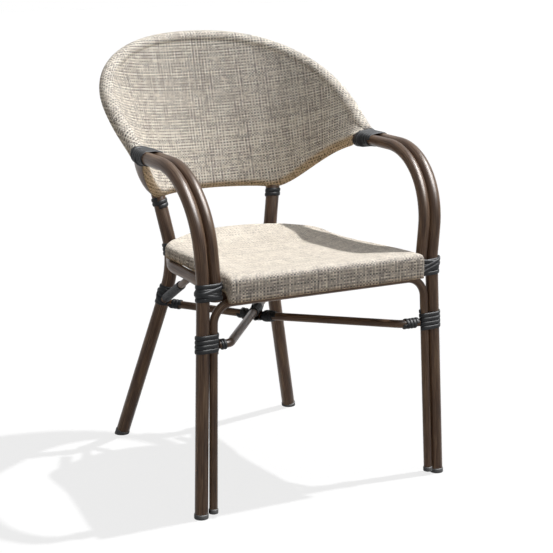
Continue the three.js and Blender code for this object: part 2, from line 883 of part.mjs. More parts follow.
const sleeveBore = (hoopTube / 2 + sleeveGap) / Math.cos(Math.PI / hoopSides);
const sleeveRadius = sleeveBore + sleeveWall;

// A ring of the sleeve round a point, with one flat square to the first of two directions.
function sleeveRing(centre, radius, first, second) {
  const points = [];
  for (let i = 0; i < hoopSides; i += 1) {
    const angle = 2 * Math.PI * (i - 1 / 2) / hoopSides;
    const ahead = centre.clone().addScaledVector(first, radius * Math.cos(angle));
    points.push(ahead.addScaledVector(second, radius * Math.sin(angle)));
  }
  return points;
}

// Evenly spaced points along the sheet, from one point to another.
function rowPoints(from, to) {
  const points = [];
  for (let i = 0; i <= sheetRows; i += 1) points.push(shareAlong(from, to, i / sheetRows));
  return points;
}

// One section of the back: a sleeve round the hoop and the sheet from its front down to the lower bar.
function backSection(high, run, share) {
  const low = pathAt(barLine, share);
  const rise = high.clone().sub(low).normalize();
  const front = run.clone().cross(rise).normalize();
  const up = front.clone().cross(run);
  const ring = sleeveRing(high, sleeveRadius, front, up);
  const last = ring[ring.length - 1];
  const seam = shareAlong(ring[0], last, sheetThickness / ring[0].clone().sub(last).dot(front));
  const lowFront = runAt(barLine, share).cross(rise).normalize();
  const foot = low.clone().addScaledVector(rise, -sheetLap);
  const rear = lowerBarTube / 2 + sheetGap;
  const [lowRear, lowAhead] = [rear, rear + sheetThickness].map((offset) => (
    foot.clone().addScaledVector(lowFront, offset)
  ));
  const sheet = [...rowPoints(seam, lowRear), ...rowPoints(lowAhead, ring[0]).slice(0, -1)];
  const aside = run.clone().cross(new THREE.Vector3(0, 0, 1)).normalize();
  const bore = sleeveRing(high, sleeveBore, aside, aside.clone().cross(run));
  const flat = (point) => new THREE.Vector2(point.clone().sub(high).dot(front), point.clone().sub(high).dot(up));
  return { outer: [...ring, ...sheet].reverse(), bore, flat };
}

// The end face of the back round the sleeve's bore.
function backEndFaces({ outer, bore, flat }, start) {
  const faces = THREE.ShapeUtils.triangulateShape(outer.map(flat), [bore.map(flat)]);
  return faces.map((face) => face.map((corner) => start + corner));
}

function backSling() {
  const from = (1 - sheetReach) / 2;
  const line = partOf(hoopLine, from, 1 - from);
  const total = pathLength(hoopLine);
  const sections = line.map((high, i) => {
    const share = from + pathLength(line.slice(0, i + 1)) / total;
    return backSection(high, directionAt(line, i), share);
  });
  const outerCount = sections[0].outer.length;
  const stride = outerCount + hoopSides;
  const runs = sections.length - 1;
  const points = sections.flatMap(({ outer, bore }) => [...outer, ...bore]);
  const firstEnd = backEndFaces(sections[0], 0);
  const lastEnd = backEndFaces(sections[runs], runs * stride).map((face) => [...face].reverse());
  return meshFrom(points, [
    ...runFaces(0, outerCount, stride, runs), ...runFaces(outerCount, hoopSides, stride, runs),
    ...firstEnd.flat(), ...lastEnd.flat(),
  ]);
}

addPiece('back_sling', backSling(), fabric);

// Foot caps: cups round the tube ends, cut level with the floor.

function footCap(foot, next, diameter, side) {
  const base = spot(foot, side);
  const run = spot(next, side).sub(base).normalize();
  const outerWidth = diameter + 2 * (capWall + capGap);
  const below = base.clone().addScaledVector(run, -outerWidth / 2);
  const above = base.clone().addScaledVector(run, capHeight / run.z);
  const body = toSolid(tube([below, above], outerWidth));
  const inside = footEnd(foot, next, diameter);
  const pocketStart = new THREE.Vector3(side * inside.x, inside.y, inside.z).addScaledVector(run, -endGap);
  const pocketTop = above.clone().addScaledVector(run, capHeight);
  const pocket = tubeRoom([pocketStart, pocketTop], diameter, capGap / 2);
  const floor = new THREE.BoxGeometry(2 * outerWidth, 2 * outerWidth, 2 * outerWidth);
  floor.translate(base.x, base.y, foot.z - outerWidth);
  return toGeometry(body.subtract(pocket).subtract(toSolid(floor)));
}

[['left', -1], ['right', 1]].forEach(([name, side]) => {
  addPiece(`foot_cap_front_${name}`, footCap(frontFoot, legWaist, armTube, side), rubber);
  addPiece(`foot_cap_u_${name}`, footCap(uFoot, uCorner, thinTube, side), rubber);
  addPiece(`foot_cap_rear_${name}`, footCap(rearFoot, rearKnee, rearLegTube, side), rubber);
});

// Windings, each one strip.

// Two points on a path at two heights.
function betweenHeights(line, low, high) {
  const upward = new THREE.Vector3(0, 0, 1);
  const origin = new THREE.Vector3();
  return [low, high].map((height) => crossingAt(line, origin, upward, height).point);
}

// Two points on a path at two distances from its start.
function betweenLengths(line, near, far) {
  const total = pathLength(line);
  return [near, far].map((length) => pathAt(line, length / total));
}

// A tube that a winding goes round, taken a little past its own ends so that the strip stays clear.
function round(line, diameter) {
  return { line: shortened(line, -windingReach, -windingReach), diameter };
}

const armJointFrom = -64;
const armJointTo = -11;
const uprightTopBelowBar = 13.9;
const uprightTopLength = 25.5;
const uprightTopHigh = barLevelHeight - uprightTopBelowBar;
const uprightTopLow = uprightTopHigh - uprightTopLength;
const uprightSeatLow = 396;
const uprightSeatHigh = 424;
const rearLegLow = 291;
const rearLegHigh = 339;
const frontSeatOverhang = 0.5;
const frontSeatLength = 36.5;
const frontSeatLow = innerArmEndHeight - frontSeatOverhang;
const frontSeatHigh = frontSeatLow + frontSeatLength;
const frontLowerHeights = { left: 332, right: 320 };
const frontLowerLength = 34;
const rodEndStart = 1;
const rodTwoEndLoops = 2;
const rodOneEndLoops = 4;
const crossingStart = 10.5;
const braceWindingStart = 31;
const braceLoops = 8;

[['left', -1], ['right', 1]].forEach(([name, side]) => {
  const line = paths[name];
  const arm = round(line.arm, armTube);
  const innerArm = round(line.innerArm, innerArmTube);
  const rearLeg = round(line.rearLeg, rearLegTube);
  const hoop = round(hoopLine, hoopTube);
  const bar = round(barLine, lowerBarTube);
  const jointX = side * (armRear.x - armSpacing / 2);
  winding(`winding_arm_joint_${name}`, {
    from: new THREE.Vector3(jointX, armJointFrom, armRear.z),
    to: new THREE.Vector3(jointX, armJointTo, armRear.z),
    members: [sideHalf(hoop, side), arm, sideHalf(bar, side), innerArm],
    loops: 6,
  });
  const upright = (low, high, loops, label) => {
    const [from, to] = betweenHeights(line.rearLeg, low, high);
    winding(`winding_${label}_${name}`, { from, to, members: [rearLeg], loops });
  };
  upright(uprightTopLow, uprightTopHigh, 2, 'upright_top');
  upright(uprightSeatLow, uprightSeatHigh, 3, 'upright_seat');
  upright(rearLegLow, rearLegHigh, 5, 'rear_leg');
  const [seatFrom, seatTo] = betweenHeights(line.arm, frontSeatLow, frontSeatHigh);
  winding(`winding_front_seat_${name}`, {
    from: seatFrom, to: seatTo, members: [arm, innerArm], loops: 4, share: 0.95,
  });
  const middle = frontLowerHeights[name];
  const [lowFrom, lowTo] = betweenHeights(line.arm, middle - frontLowerLength / 2, middle + frontLowerLength / 2);
  winding(`winding_front_lower_${name}`, {
    from: lowFrom, to: lowTo, members: [arm, sideHalf(round(uLine, thinTube), side)], loops: 4,
  });
  const brace = bracePath(name, side);
  const braceEnd = braceWindingStart + braceLoops * stripPitch + stripWidth;
  const [braceFrom, braceTo] = betweenLengths(brace, braceWindingStart, braceEnd);
  winding(`winding_brace_${name}`, {
    from: braceFrom, to: braceTo, members: [round(brace, braceTube)], loops: braceLoops,
  });
});

// The half of a path that lies on one side of the chair.
function sideHalf(member, side) {
  const line = member.line.filter((p) => side * p.x >= 0);
  return { ...member, line };
}

function rodWinding(name, line, start, loops, share) {
  const length = loops * stripPitch * share + stripWidth * share;
  const [from, to] = betweenLengths(line, start, start + length);
  winding(name, { from, to, members: [round(line, thinTube)], loops, share });
}

// How far along a rod its crossing with the other rod lies.
function crossingLength(line) {
  const end = line.findIndex((p, i) => i > 0 && p.x * line[i - 1].x <= 0);
  const before = pathLength(line.slice(0, end));
  const hit = crossingAt(line, new THREE.Vector3(), new THREE.Vector3(1, 0, 0), 0).point;
  return before + line[end - 1].distanceTo(hit);
}

const rodCrossing = crossingLength(rodOneLine);
const crossingWidth = 3 * stripPitch + stripWidth;
rodWinding('winding_rod_end_left', rodTwoLine, rodEndStart, rodTwoEndLoops - 1, narrowStripShare);
rodWinding('winding_rod_end_right', rodOneLine, rodEndStart, rodOneEndLoops - 1, narrowStripShare);
rodWinding('winding_crossing_front', rodOneLine, rodCrossing - crossingStart - crossingWidth, 3, 1);
rodWinding('winding_crossing_rear', rodOneLine, rodCrossing + crossingStart, 3, 1);

loopGaps.forEach(([name, gap]) => console.log(`${name}: least gap between loops ${gap.toFixed(2)} mm`));

const bounds = new THREE.Box3().setFromObject(chair);
const middlePoint = bounds.getCenter(new THREE.Vector3());
chair.children.forEach((piece) => {
  piece.geometry.translate(-middlePoint.x, -middlePoint.y, -bounds.min.z);
});

export default chair;
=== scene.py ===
"""Looks of a rattan style bistro armchair: painted metal tube, wound joints, woven seat and back.

Lengths are in millimetres until a mesh is made, then in metres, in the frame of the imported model.
Points are given for the right side (+X) and mirrored for the left.
"""

from math import acos, atan, ceil, copysign, cos, degrees, pi, radians, sin, sqrt, tan

import bpy
import numpy as np
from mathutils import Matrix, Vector


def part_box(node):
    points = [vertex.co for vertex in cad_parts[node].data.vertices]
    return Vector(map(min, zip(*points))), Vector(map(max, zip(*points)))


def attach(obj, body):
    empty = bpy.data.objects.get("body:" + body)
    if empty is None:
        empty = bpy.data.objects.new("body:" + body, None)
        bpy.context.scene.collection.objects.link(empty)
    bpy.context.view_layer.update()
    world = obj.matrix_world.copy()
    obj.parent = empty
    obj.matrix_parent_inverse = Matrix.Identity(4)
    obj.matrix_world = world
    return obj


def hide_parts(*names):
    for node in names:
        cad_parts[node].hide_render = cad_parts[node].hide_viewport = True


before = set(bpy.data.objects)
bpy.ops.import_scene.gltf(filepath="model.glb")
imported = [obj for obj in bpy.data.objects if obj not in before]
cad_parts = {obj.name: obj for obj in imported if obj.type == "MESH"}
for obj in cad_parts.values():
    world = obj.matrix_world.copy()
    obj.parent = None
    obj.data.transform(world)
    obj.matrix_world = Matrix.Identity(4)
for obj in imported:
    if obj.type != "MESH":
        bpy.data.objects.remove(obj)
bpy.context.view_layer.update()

MM = 0.001
# From the origin of the measures to the model's, which lies under its middle.
SHIFT = np.array([0.0, -2.02, 0.0])
MIRROR = np.array([-1.0, 1.0, 1.0])
SIDES = (("left", -1), ("right", 1))

# Tube diameters.
ARM_TUBE = 25
INNER_ARM_TUBE = 22
REAR_LEG_TUBE = 28
HOOP_TUBE = 25
BAR_TUBE = 25
THIN_TUBE = 16
RAIL_TUBE = 22
FRAME_TUBE = 18
SPREADER_TUBE = 14
BRACE_TUBE = 14

# Arms and front legs. The inner arm runs beside the outer one, at the spacing.
ARM_REAR = (260.5, -22, 645)
ARM_CORNER = (263.5, -270, 646)
ARM_BEND = 145
LEG_WAIST = (247.3, -270.5, 445)
WAIST_BEND = 150
FRONT_FOOT = (262.5, -283.6, 0)
INNER_ARM_END = 410
ARM_SPACING = 23.9

# The U tube under the seat's front edge and beside the front legs.
U_FOOT = (239.2, -287.7, 7)
U_CORNER = (227.9, -272.9, 405)
U_BEND = 39

# Rear legs.
REAR_FOOT = (205, 231.6, 0)
REAR_KNEE = (110, 152, 384)
KNEE_BEND = 210
REAR_TOP = (136.2, 175.8, 530.5)

# How far the tube ends stand over the undersides of their caps.
FRONT_FOOT_GAP = 3.5
REAR_FOOT_GAP = 4.5

# Seat rails: each corner and its bend, from the front to the rear.
RAIL = (
    ((199.3, -264.4, 414), 0),
    ((183.5, -80, 412.5), 400),
    ((180, 10, 412), 120),
    ((124.2, 141, 412), 0),
)
RAIL_TRIMS = (4, 6)

# The hoop: a rounded outline in a plane that leans back, and its run along the arms.
HOOP_HALF_WIDTH = 262
HOOP_HALF_DEPTH = 251
HOOP_CENTRE_BEHIND = 80
HOOP_POWER = 2.25
HOOP_PLANE_Y = 12
HOOP_PLANE_Z = 661
HOOP_SLOPE = 0.61
HOOP_TILT = atan(HOOP_SLOPE)
HOOP_SIDE_KNOTS = 6
HOOP_KNOT_ANGLE = 15
HOOP_RUN_IN = (258.6, 6, 656.5)
HOOP_RUN_OUT = (261.5, -75, 646)
HOOP_STEPS = 150

# The lower bar of the back: level behind the seat, with wings that climb to the arm joints.
BAR_HALF_WIDTH = 262
BAR_HALF_DEPTH = 338
BAR_CENTRE_Y = -117
BAR_LEVEL = 537
BAR_RISE = 106
BAR_RISE_POWER = 1.35
BAR_CORNER_ANGLE = 32.3
BAR_WING_ANGLE = 33.2
BAR_LEVEL_KNOTS = 4
BAR_WING_KNOTS = 7
BAR_JOINT = (234.9, -22, 641)
BAR_RUN_OUT = (236, -62, 644)
BAR_STEPS = 140

# Stretcher rods: x and bend of the front corner, then the heights in front, in the middle and behind.
ROD_FRONT_X = 218.7
ROD_FRONT_Y = -274
ROD_MIDDLE_Y = -9
ROD_DIP_BEND = 600
ROD_1_CORNER = (185, 30)
ROD_1_HEIGHTS = (314.5, 294, 297)
ROD_2_CORNER = (195, 20)
ROD_2_HEIGHTS = (328, None, 300)
ROD_REAR_TRIM = 15.5

# Braces: from the winding on a rear leg forward and up to the rail.
BRACE_FOOT_HEIGHT = 300
BRACE_TOP_Y = -85
BRACE_TRIMS = (15.5, 8)


def vec(*values):
    return np.array(values, float)


def spot(place, side=1):
    return vec(side * place[0], place[1], place[2])


def unit(v):
    return v / np.linalg.norm(v)


def apart(a, b):
    return np.linalg.norm(a - b)


def lerp(a, b, share):
    return a + (b - a) * share


def smoothstep(x):
    x = np.clip(x, 0, 1)
    return x * x * (3 - 2 * x)


# Paths.

# The largest turn between stations, their least distance from a cut, and the least slant of a crossing.
SMOOTH_BEND = radians(3)
LEAST_STEP = 0.5
LEAST_SLANT = 0.5


def bend_stations(before, corner, after, bend, finest):
    entering = unit(corner - before)
    leaving = unit(after - corner)
    turn = acos(float(np.clip(entering @ leaving, -1, 1)))
    across = unit(leaving - entering * (leaving @ entering))
    start = corner - entering * bend * tan(turn / 2)
    count = max(2, ceil(turn / finest))
    angles = [turn * i / count for i in range(count + 1)]
    return [start + entering * bend * sin(a) + across * bend * (1 - cos(a)) for a in angles]


def bent_path(corners, finest=SMOOTH_BEND):
    """Straight runs joined by round bends, from (point, bend) pairs."""
    line = []
    for i, (at, bend) in enumerate(corners):
        if bend:
            line += bend_stations(corners[i - 1][0], at, corners[i + 1][0], bend, finest)
        else:
            line.append(at)
    return np.array(line)


def knot_curve(knots, steps):
    """A centripetal curve through knots, between the second and the last but one."""
    last = len(knots) - 1
    line = []
    for step in range(steps + 1):
        place = last * (1 / last + (1 - 2 / last) * step / steps)
        i = min(int(place + 1e-9), last - 2)
        t = place - i
        a, b, c, d = knots[i - 1 : i + 3]
        ab, bc, cd = (apart(q, p) ** 0.5 for p, q in ((a, b), (b, c), (c, d)))
        low = ((b - a) / ab - (c - a) / (ab + bc) + (c - b) / bc) * bc
        high = ((c - b) / bc - (d - b) / (bc + cd) + (d - c) / cd) * bc
        square = (3 * (c - b) - 2 * low - high) * t**2
        cube = (2 * (b - c) + low + high) * t**3
        line.append(b + low * t + square + cube)
    return np.array(line)


def mirrored(points):
    """The points' mirror images, from the last to the first."""
    return [p * MIRROR for p in reversed(points)]


def lengths(line):
    steps = np.linalg.norm(np.diff(line, axis=0), axis=1)
    return np.concatenate([[0], np.cumsum(steps)])


def at_length(line, length):
    run = lengths(line)
    return np.array([np.interp(length, run, line[:, k]) for k in range(3)]).T


def at_share(line, share):
    return at_length(line, np.asarray(share) * lengths(line)[-1])


def trimmed(line, from_start, from_end):
    run = lengths(line)
    far = run[-1] - from_end
    inner = line[(run > from_start + LEAST_STEP) & (run < far - LEAST_STEP)]
    return np.vstack([at_length(line, from_start), inner, at_length(line, far)])


def directions(line, closed=False):
    if closed:
        drawn_out = np.vstack([line[-1:], line, line[:1]])
    else:
        drawn_out = np.vstack([2 * line[:1] - line[1:2], line, 2 * line[-1:] - line[-2:-1]])
    steps = np.diff(drawn_out, axis=0)
    steps /= np.linalg.norm(steps, axis=1)[:, None]
    both = steps[:-1] + steps[1:]
    return both / np.linalg.norm(both, axis=1)[:, None]


def crossing(line, origin, direction, distance=0):
    """Where a path crosses a plane square to a direction: (point, slant), or None."""
    offsets = (line - origin) @ direction - distance
    for i in range(len(line) - 1):
        a, b = offsets[i], offsets[i + 1]
        if a * b <= 0 and a != b:
            run = unit(line[i + 1] - line[i])
            return lerp(line[i], line[i + 1], a / (a - b)), max(abs(run @ direction), LEAST_SLANT)
    return None


def point_where(line, axis, value):
    """The first point of a path that has a value on an axis: 0 for X, 1 for Y, 2 for Z."""
    return crossing(line, np.zeros(3), np.eye(3)[axis], value)[0]


# The frame's paths.


def signed_power(value, power):
    return copysign(abs(value) ** power, value)


def hoop_point(around):
    """A point on the hoop, by its angle in degrees from the middle of the rear."""
    angle = radians(around)
    behind = signed_power(cos(angle), 2 / HOOP_POWER)
    aside = signed_power(sin(angle), 2 / HOOP_POWER)
    y = HOOP_PLANE_Y + (HOOP_CENTRE_BEHIND + HOOP_HALF_DEPTH * behind) * cos(HOOP_TILT)
    return vec(HOOP_HALF_WIDTH * aside, y, HOOP_PLANE_Z + HOOP_SLOPE * (y - HOOP_PLANE_Y))


def hoop_path():
    ends = [spot(place, -1) for place in (HOOP_RUN_OUT, ARM_REAR, HOOP_RUN_IN)]
    over = [hoop_point(HOOP_KNOT_ANGLE * i) for i in range(-HOOP_SIDE_KNOTS, HOOP_SIDE_KNOTS + 1)]
    return knot_curve(ends + over + mirrored(ends), HOOP_STEPS)


def bar_point(around):
    """A point on the lower bar, by its angle in degrees from the middle of the rear."""
    angle = radians(around)
    joint = degrees(acos((ARM_REAR[1] - BAR_CENTRE_Y) / BAR_HALF_DEPTH))
    share = max(0, (around - BAR_CORNER_ANGLE) / (joint - BAR_CORNER_ANGLE))
    climb = BAR_RISE * sin(share * pi / 2) ** BAR_RISE_POWER
    x = BAR_HALF_WIDTH * sin(angle)
    return vec(x, BAR_CENTRE_Y + BAR_HALF_DEPTH * cos(angle), BAR_LEVEL + climb)


def bar_path():
    angles = [BAR_CORNER_ANGLE * i / BAR_LEVEL_KNOTS for i in range(BAR_LEVEL_KNOTS)]
    angles += [BAR_CORNER_ANGLE + BAR_WING_ANGLE * i / BAR_WING_KNOTS for i in range(BAR_WING_KNOTS + 1)]
    right = [bar_point(a) for a in angles] + [spot(BAR_JOINT), spot(BAR_RUN_OUT)]
    return knot_curve(mirrored(right[1:]) + right, BAR_STEPS)


HOOP = hoop_path()
BAR = bar_path()


def side_paths(side):
    share = (LEG_WAIST[2] - INNER_ARM_END) / LEG_WAIST[2]
    inner_end = lerp(spot(LEG_WAIST), spot(FRONT_FOOT), share)
    arm_foot = lerp(spot(FRONT_FOOT), spot(LEG_WAIST), FRONT_FOOT_GAP / LEG_WAIST[2])
    rear_foot = lerp(spot(REAR_FOOT), spot(REAR_KNEE), REAR_FOOT_GAP / REAR_KNEE[2])
    bends = ((ARM_REAR, 0), (ARM_CORNER, ARM_BEND), (LEG_WAIST, WAIST_BEND))
    inboard = vec(ARM_SPACING, 0, 0)
    corners = {
        "arm": [*bends, (arm_foot, 0)],
        "inner_arm": [(vec(*place) - inboard, bend) for place, bend in (*bends, (inner_end, 0))],
        "rear_leg": [(REAR_TOP, 0), (REAR_KNEE, KNEE_BEND), (rear_foot, 0)],
        "rail": RAIL,
    }
    return {
        label: bent_path([(spot(place, side), bend) for place, bend in pairs])
        for label, pairs in corners.items()
    }


PATHS = {name: side_paths(side) for name, side in SIDES}


def u_path():
    foot = lerp(spot(U_FOOT), spot(U_CORNER), FRONT_FOOT_GAP / (U_CORNER[2] - U_FOOT[2]))
    corners = [(foot, 0), (spot(U_CORNER), U_BEND)]
    return bent_path(corners + [(p * MIRROR, bend) for p, bend in reversed(corners)])


U_TUBE = u_path()


def rear_leg_at(height, side):
    return lerp(spot(REAR_FOOT, side), spot(REAR_KNEE, side), height / REAR_KNEE[2])


def rod_path(front_side, corner, heights):
    """A rod from one front leg to the other side's rear leg, straight where it has no middle height."""
    corner_x, bend = corner
    front_height, middle_height, rear_height = heights
    start = vec(front_side * ROD_FRONT_X, ROD_FRONT_Y, front_height)
    vertex = vec(front_side * corner_x, ROD_FRONT_Y, front_height)
    corners = [(start, 0), (vertex, bend)]
    if middle_height:
        corners.append((vec(0, ROD_MIDDLE_Y, middle_height), ROD_DIP_BEND))
    return bent_path([*corners, (rear_leg_at(rear_height, -front_side), 0)])


ROD_1 = rod_path(1, ROD_1_CORNER, ROD_1_HEIGHTS)
ROD_2 = rod_path(-1, ROD_2_CORNER, ROD_2_HEIGHTS)


def brace_path(name, side):
    top = point_where(PATHS[name]["rail"], 1, BRACE_TOP_Y)
    return np.array([rear_leg_at(BRACE_FOOT_HEIGHT, side), top])


# Meshes.

TUBE_SIDES = 28
STEEP = 0.8
END_ROUND = 0.8
END_STATIONS = (0, END_ROUND * 0.3, END_ROUND)


def add_object(name, points, faces, uvs=None):
    """A smooth shaded object. uvs gives one pair in metres for each corner of each face."""
    mesh = bpy.data.meshes.new(name)
    placed = (np.asarray(points, float) + SHIFT) * MM
    mesh.from_pydata([tuple(p) for p in placed], [], [tuple(int(i) for i in f) for f in faces])
    mesh.polygons.foreach_set("use_smooth", [True] * len(mesh.polygons))
    if uvs is not None:
        layer = mesh.uv_layers.new(name="cloth")
        layer.data.foreach_set("uv", np.asarray(uvs, float).ravel())
    mesh.update()
    piece = bpy.data.objects.new(name, mesh)
    bpy.context.scene.collection.objects.link(piece)
    return piece


def mark(piece, name, values):
    """Stores one number for each point of a piece, for its material to read."""
    layer = piece.data.attributes.new(name, "FLOAT", "POINT")
    layer.data.foreach_set("value", np.asarray(values, float))


def thicken(piece, thickness):
    """Gives a sheet its thickness, behind the face that was drawn."""
    solid = piece.modifiers.new("cloth thickness", "SOLIDIFY")
    solid.thickness = thickness * MM
    solid.offset = -1


def grid_faces(rows, columns, closed=True, flipped=False):
    """Quads between rows of points, and the (row, column) of each corner before wrapping."""
    faces, corners = [], []
    for r in range(rows - 1):
        for c in range(columns if closed else columns - 1):
            square = ((r, c), (r, c + 1), (r + 1, c + 1), (r + 1, c))
            square = square[::-1] if flipped else square
            corners.append(square)
            faces.append([row * columns + column % columns for row, column in square])
    return faces, corners


def rings_along(line, radii, sides):
    """Rings square to a path, turned as little as possible from one to the next."""
    runs = directions(line)
    across = unit(np.cross(runs[0], vec(0, 0, 1) if abs(runs[0][2]) < STEEP else vec(0, 1, 0)))
    angles = np.arange(sides) * 2 * pi / sides
    rings = []
    for point, run, radius in zip(line, runs, radii):
        across = unit(across - run * (across @ run))
        other = np.cross(run, across)
        rim = np.outer(np.cos(angles), across) + np.outer(np.sin(angles), other)
        rings.append(point + radius * rim)
    return rings


def end_loss(depth):
    """How much a tube's rounded end takes off its radius at a depth from the end."""
    rest = END_ROUND - min(depth, END_ROUND)
    return END_ROUND - sqrt(max(END_ROUND**2 - rest**2, 0))


def tube(name, line, diameter, sides=TUBE_SIDES):
    """A tube along a path with slightly rounded ends."""
    run = lengths(line)
    total = run[-1]
    inner = [x for x in run if END_ROUND < x < total - END_ROUND]
    places = [*END_STATIONS, *inner, *[total - x for x in reversed(END_STATIONS)]]
    radii = [diameter / 2 - end_loss(min(x, total - x)) for x in places]
    rings = rings_along(at_length(line, np.array(places)), radii, sides)
    faces, corners = grid_faces(len(rings), sides, flipped=True)
    width = pi * diameter * MM
    uvs = [(c / sides * width, places[r] * MM) for square in corners for r, c in square]
    count = len(rings) * sides
    faces += [list(range(sides)), list(range(count - 1, count - sides - 1, -1))]
    uvs += [(0, 0)] * (2 * sides)
    return add_object(name, np.vstack(rings), faces, uvs)


# Windings: the part's strips, domed, with more loops on braces and rods, slanting loops and lashings.

STRIP_WIDTH = 8
STRIP_THICKNESS = 2
STRIP_PITCH = 8.6
STRIP_GAP = 0.35
STRIP_GIRTH = 12
LOOP_STEPS = 40
LOOP_TURN = 2 * pi / LOOP_STEPS
DOME_SIDE = ((0.5, 0), (0.49, 0.3), (0.42, 0.72), (0.24, 0.94))
DOME = (*((-x, height) for x, height in DOME_SIDE), (0, 1), *reversed(DOME_SIDE))
DOME_WIDENING = 1.04
# How far slanting loops lie over the others, in thicknesses: the first, and each one after it.
SLANTING_LIFT = 0.72
SLANTING_LIFT_STEP = 0.25
# How far paths are drawn out at their ends, so that all planes of a winding cross them.
DRAWN_OUT = 14


def extended(line):
    line = np.array(line, float)
    line[0] -= unit(line[1] - line[0]) * DRAWN_OUT
    line[-1] += unit(line[-1] - line[-2]) * DRAWN_OUT
    return line


def side_half(line, side):
    return line[side * line[:, 0] >= 0]


def hull_corner(circles, angle, extra):
    """The corner between two lines that touch all circles on both sides of an angle."""
    low, high = angle - LOOP_TURN / 2, angle + LOOP_TURN / 2
    near, far = (
        max(x * cos(a) + y * sin(a) + r for x, y, r in circles) + extra for a in (low, high)
    )
    x = (near * sin(high) - far * sin(low)) / sin(LOOP_TURN)
    return x, (far * cos(low) - near * cos(high)) / sin(LOOP_TURN)


class Binding:
    """A strip laid round a bundle of tubes, in the bundle's own directions."""

    def __init__(self, start, end, members, share=1.0):
        self.start, self.members, self.share = start, members, share
        self.along = unit(end - start)
        hits = [crossing(line, start, self.along) for line, _ in members]
        centres = [hit[0] for hit in hits if hit is not None]
        spread = centres[-1] - centres[0] if len(centres) > 1 else np.cross(vec(0, 0, 1), self.along)
        spread = spread - self.along * (spread @ self.along)
        upright = np.linalg.norm(spread) < 1e-6
        self.across = unit(np.cross(vec(1, 0, 0), self.along) if upright else spread)
        self.up = np.cross(self.along, self.across)
        self.width = STRIP_WIDTH * share * DOME_WIDENING
        self.points, self.faces, self.uvs = [], [], []

    def circles(self, distance):
        """Where the members cross a plane square to the bundle: (across, up, radius)."""
        found = []
        for line, diameter in self.members:
            hit = crossing(line, self.start, self.along, distance)
            if hit is not None:
                offset = hit[0] - self.start
                found.append((offset @ self.across, offset @ self.up, diameter / 2 / hit[1]))
        return found

    def section(self, angle, place, lift):
        ring = []
        for sideways, height in DOME:
            distance = place + sideways * self.width
            reach = STRIP_GAP + lift + STRIP_THICKNESS * height
            x, y = hull_corner(self.circles(distance), angle, reach)
            ring.append(self.start + self.along * distance + self.across * x + self.up * y)
        return ring

    def lay(self, stations):
        """Adds one length of strip through stations of (angle, place along the bundle, lift)."""
        sections = np.array([self.section(*station) for station in stations])
        run = lengths(sections[:, len(DOME) // 2])
        rows, columns, first = len(sections), len(DOME), len(self.points)
        faces, corners = grid_faces(rows, columns)
        faces += [list(range(columns))[::-1], [(rows - 1) * columns + c for c in range(columns)]]
        self.faces += [[first + i for i in face] for face in faces]
        girth = STRIP_GIRTH * MM
        self.uvs += [(c / columns * girth, run[r] * MM) for square in corners for r, c in square]
        self.uvs += [(0, 0)] * (2 * columns)
        self.points += list(np.vstack(sections))

    def coil(self, length, loops):
        """Loops side by side in the middle of a length."""
        pitch = STRIP_PITCH * self.share
        first = (length - pitch * loops) / 2
        turns = range(loops * LOOP_STEPS + 1)
        self.lay([(LOOP_TURN * (k + 0.5), first + pitch * k / LOOP_STEPS, 0) for k in turns])

    def slanting_loop(self, middle, tilt, lift):
        """One loop in a plane that leans along the bundle, by the tilt at its sides."""
        angles = [LOOP_TURN * k for k in range(LOOP_STEPS + 1)]
        circles = self.circles(middle)
        sideways = np.array([hull_corner(circles, a, STRIP_THICKNESS)[0] for a in angles])
        lean = (sideways - (sideways.max() + sideways.min()) / 2) / (np.ptp(sideways) / 2)
        self.lay([(a, middle + tilt * s, STRIP_THICKNESS * lift) for a, s in zip(angles, lean)])

    def join(self, other):
        offset = len(self.points)
        self.points += other.points
        self.faces += [[offset + i for i in face] for face in other.faces]
        self.uvs += other.uvs


def winding(name, ends, members, loops, share=1.0, slanting=(), lashing=None):
    """Loops side by side, slanting loops (place, tilt) over them, and perhaps a lashing beside them."""
    binding = Binding(*ends, members, share)
    binding.coil(apart(*ends), loops)
    for i, (place, tilt) in enumerate(slanting):
        binding.slanting_loop(place, tilt, SLANTING_LIFT + SLANTING_LIFT_STEP * i)
    if lashing:
        binding.join(lashing)
    return add_object(name, binding.points, binding.faces, binding.uvs)


# Windings of each side. The arm joint's runs from front to rear, and those on legs upwards.

ARM_JOINT = (-64, -11)
ARM_JOINT_LOOPS = 6
REAR_LEG_SLANTING = ((25, 12), (29, -9))
FRONT_SEAT_SHARE = 0.95
FRONT_SEAT_SLANTING = {"left": ((13, -5), (23, 6)), "right": ((27, 4), (13.5, -9.5), (21.5, -9.5))}
FRONT_LOWER = {"left": (315, 349), "right": (303, 337)}
BRACE_WINDING_START = 31
BRACE_LOOPS = 18

# The coil on each rod where it leaves the rear leg: from and to lengths before the rod's end.
REAR_COIL = (52, 15)
REAR_COIL_LOOPS = 3
LASHING_SHARE = 0.9


def rear_coil(rod):
    ends = at_length(rod, lengths(rod)[-1] - np.array(REAR_COIL))
    coil = Binding(*ends, [(extended(rod), THIN_TUBE)], LASHING_SHARE)
    coil.coil(REAR_COIL[0] - REAR_COIL[1], REAR_COIL_LOOPS)
    return coil


def single_winding(name, line, diameter, start, loops, share=1.0, **over):
    """A winding on one tube, from a length along it."""
    far = start + loops * STRIP_PITCH * share + STRIP_WIDTH * share
    ends = at_length(line, np.array([start, far]))
    return winding(name, ends, [(extended(line), diameter)], loops, share, **over)


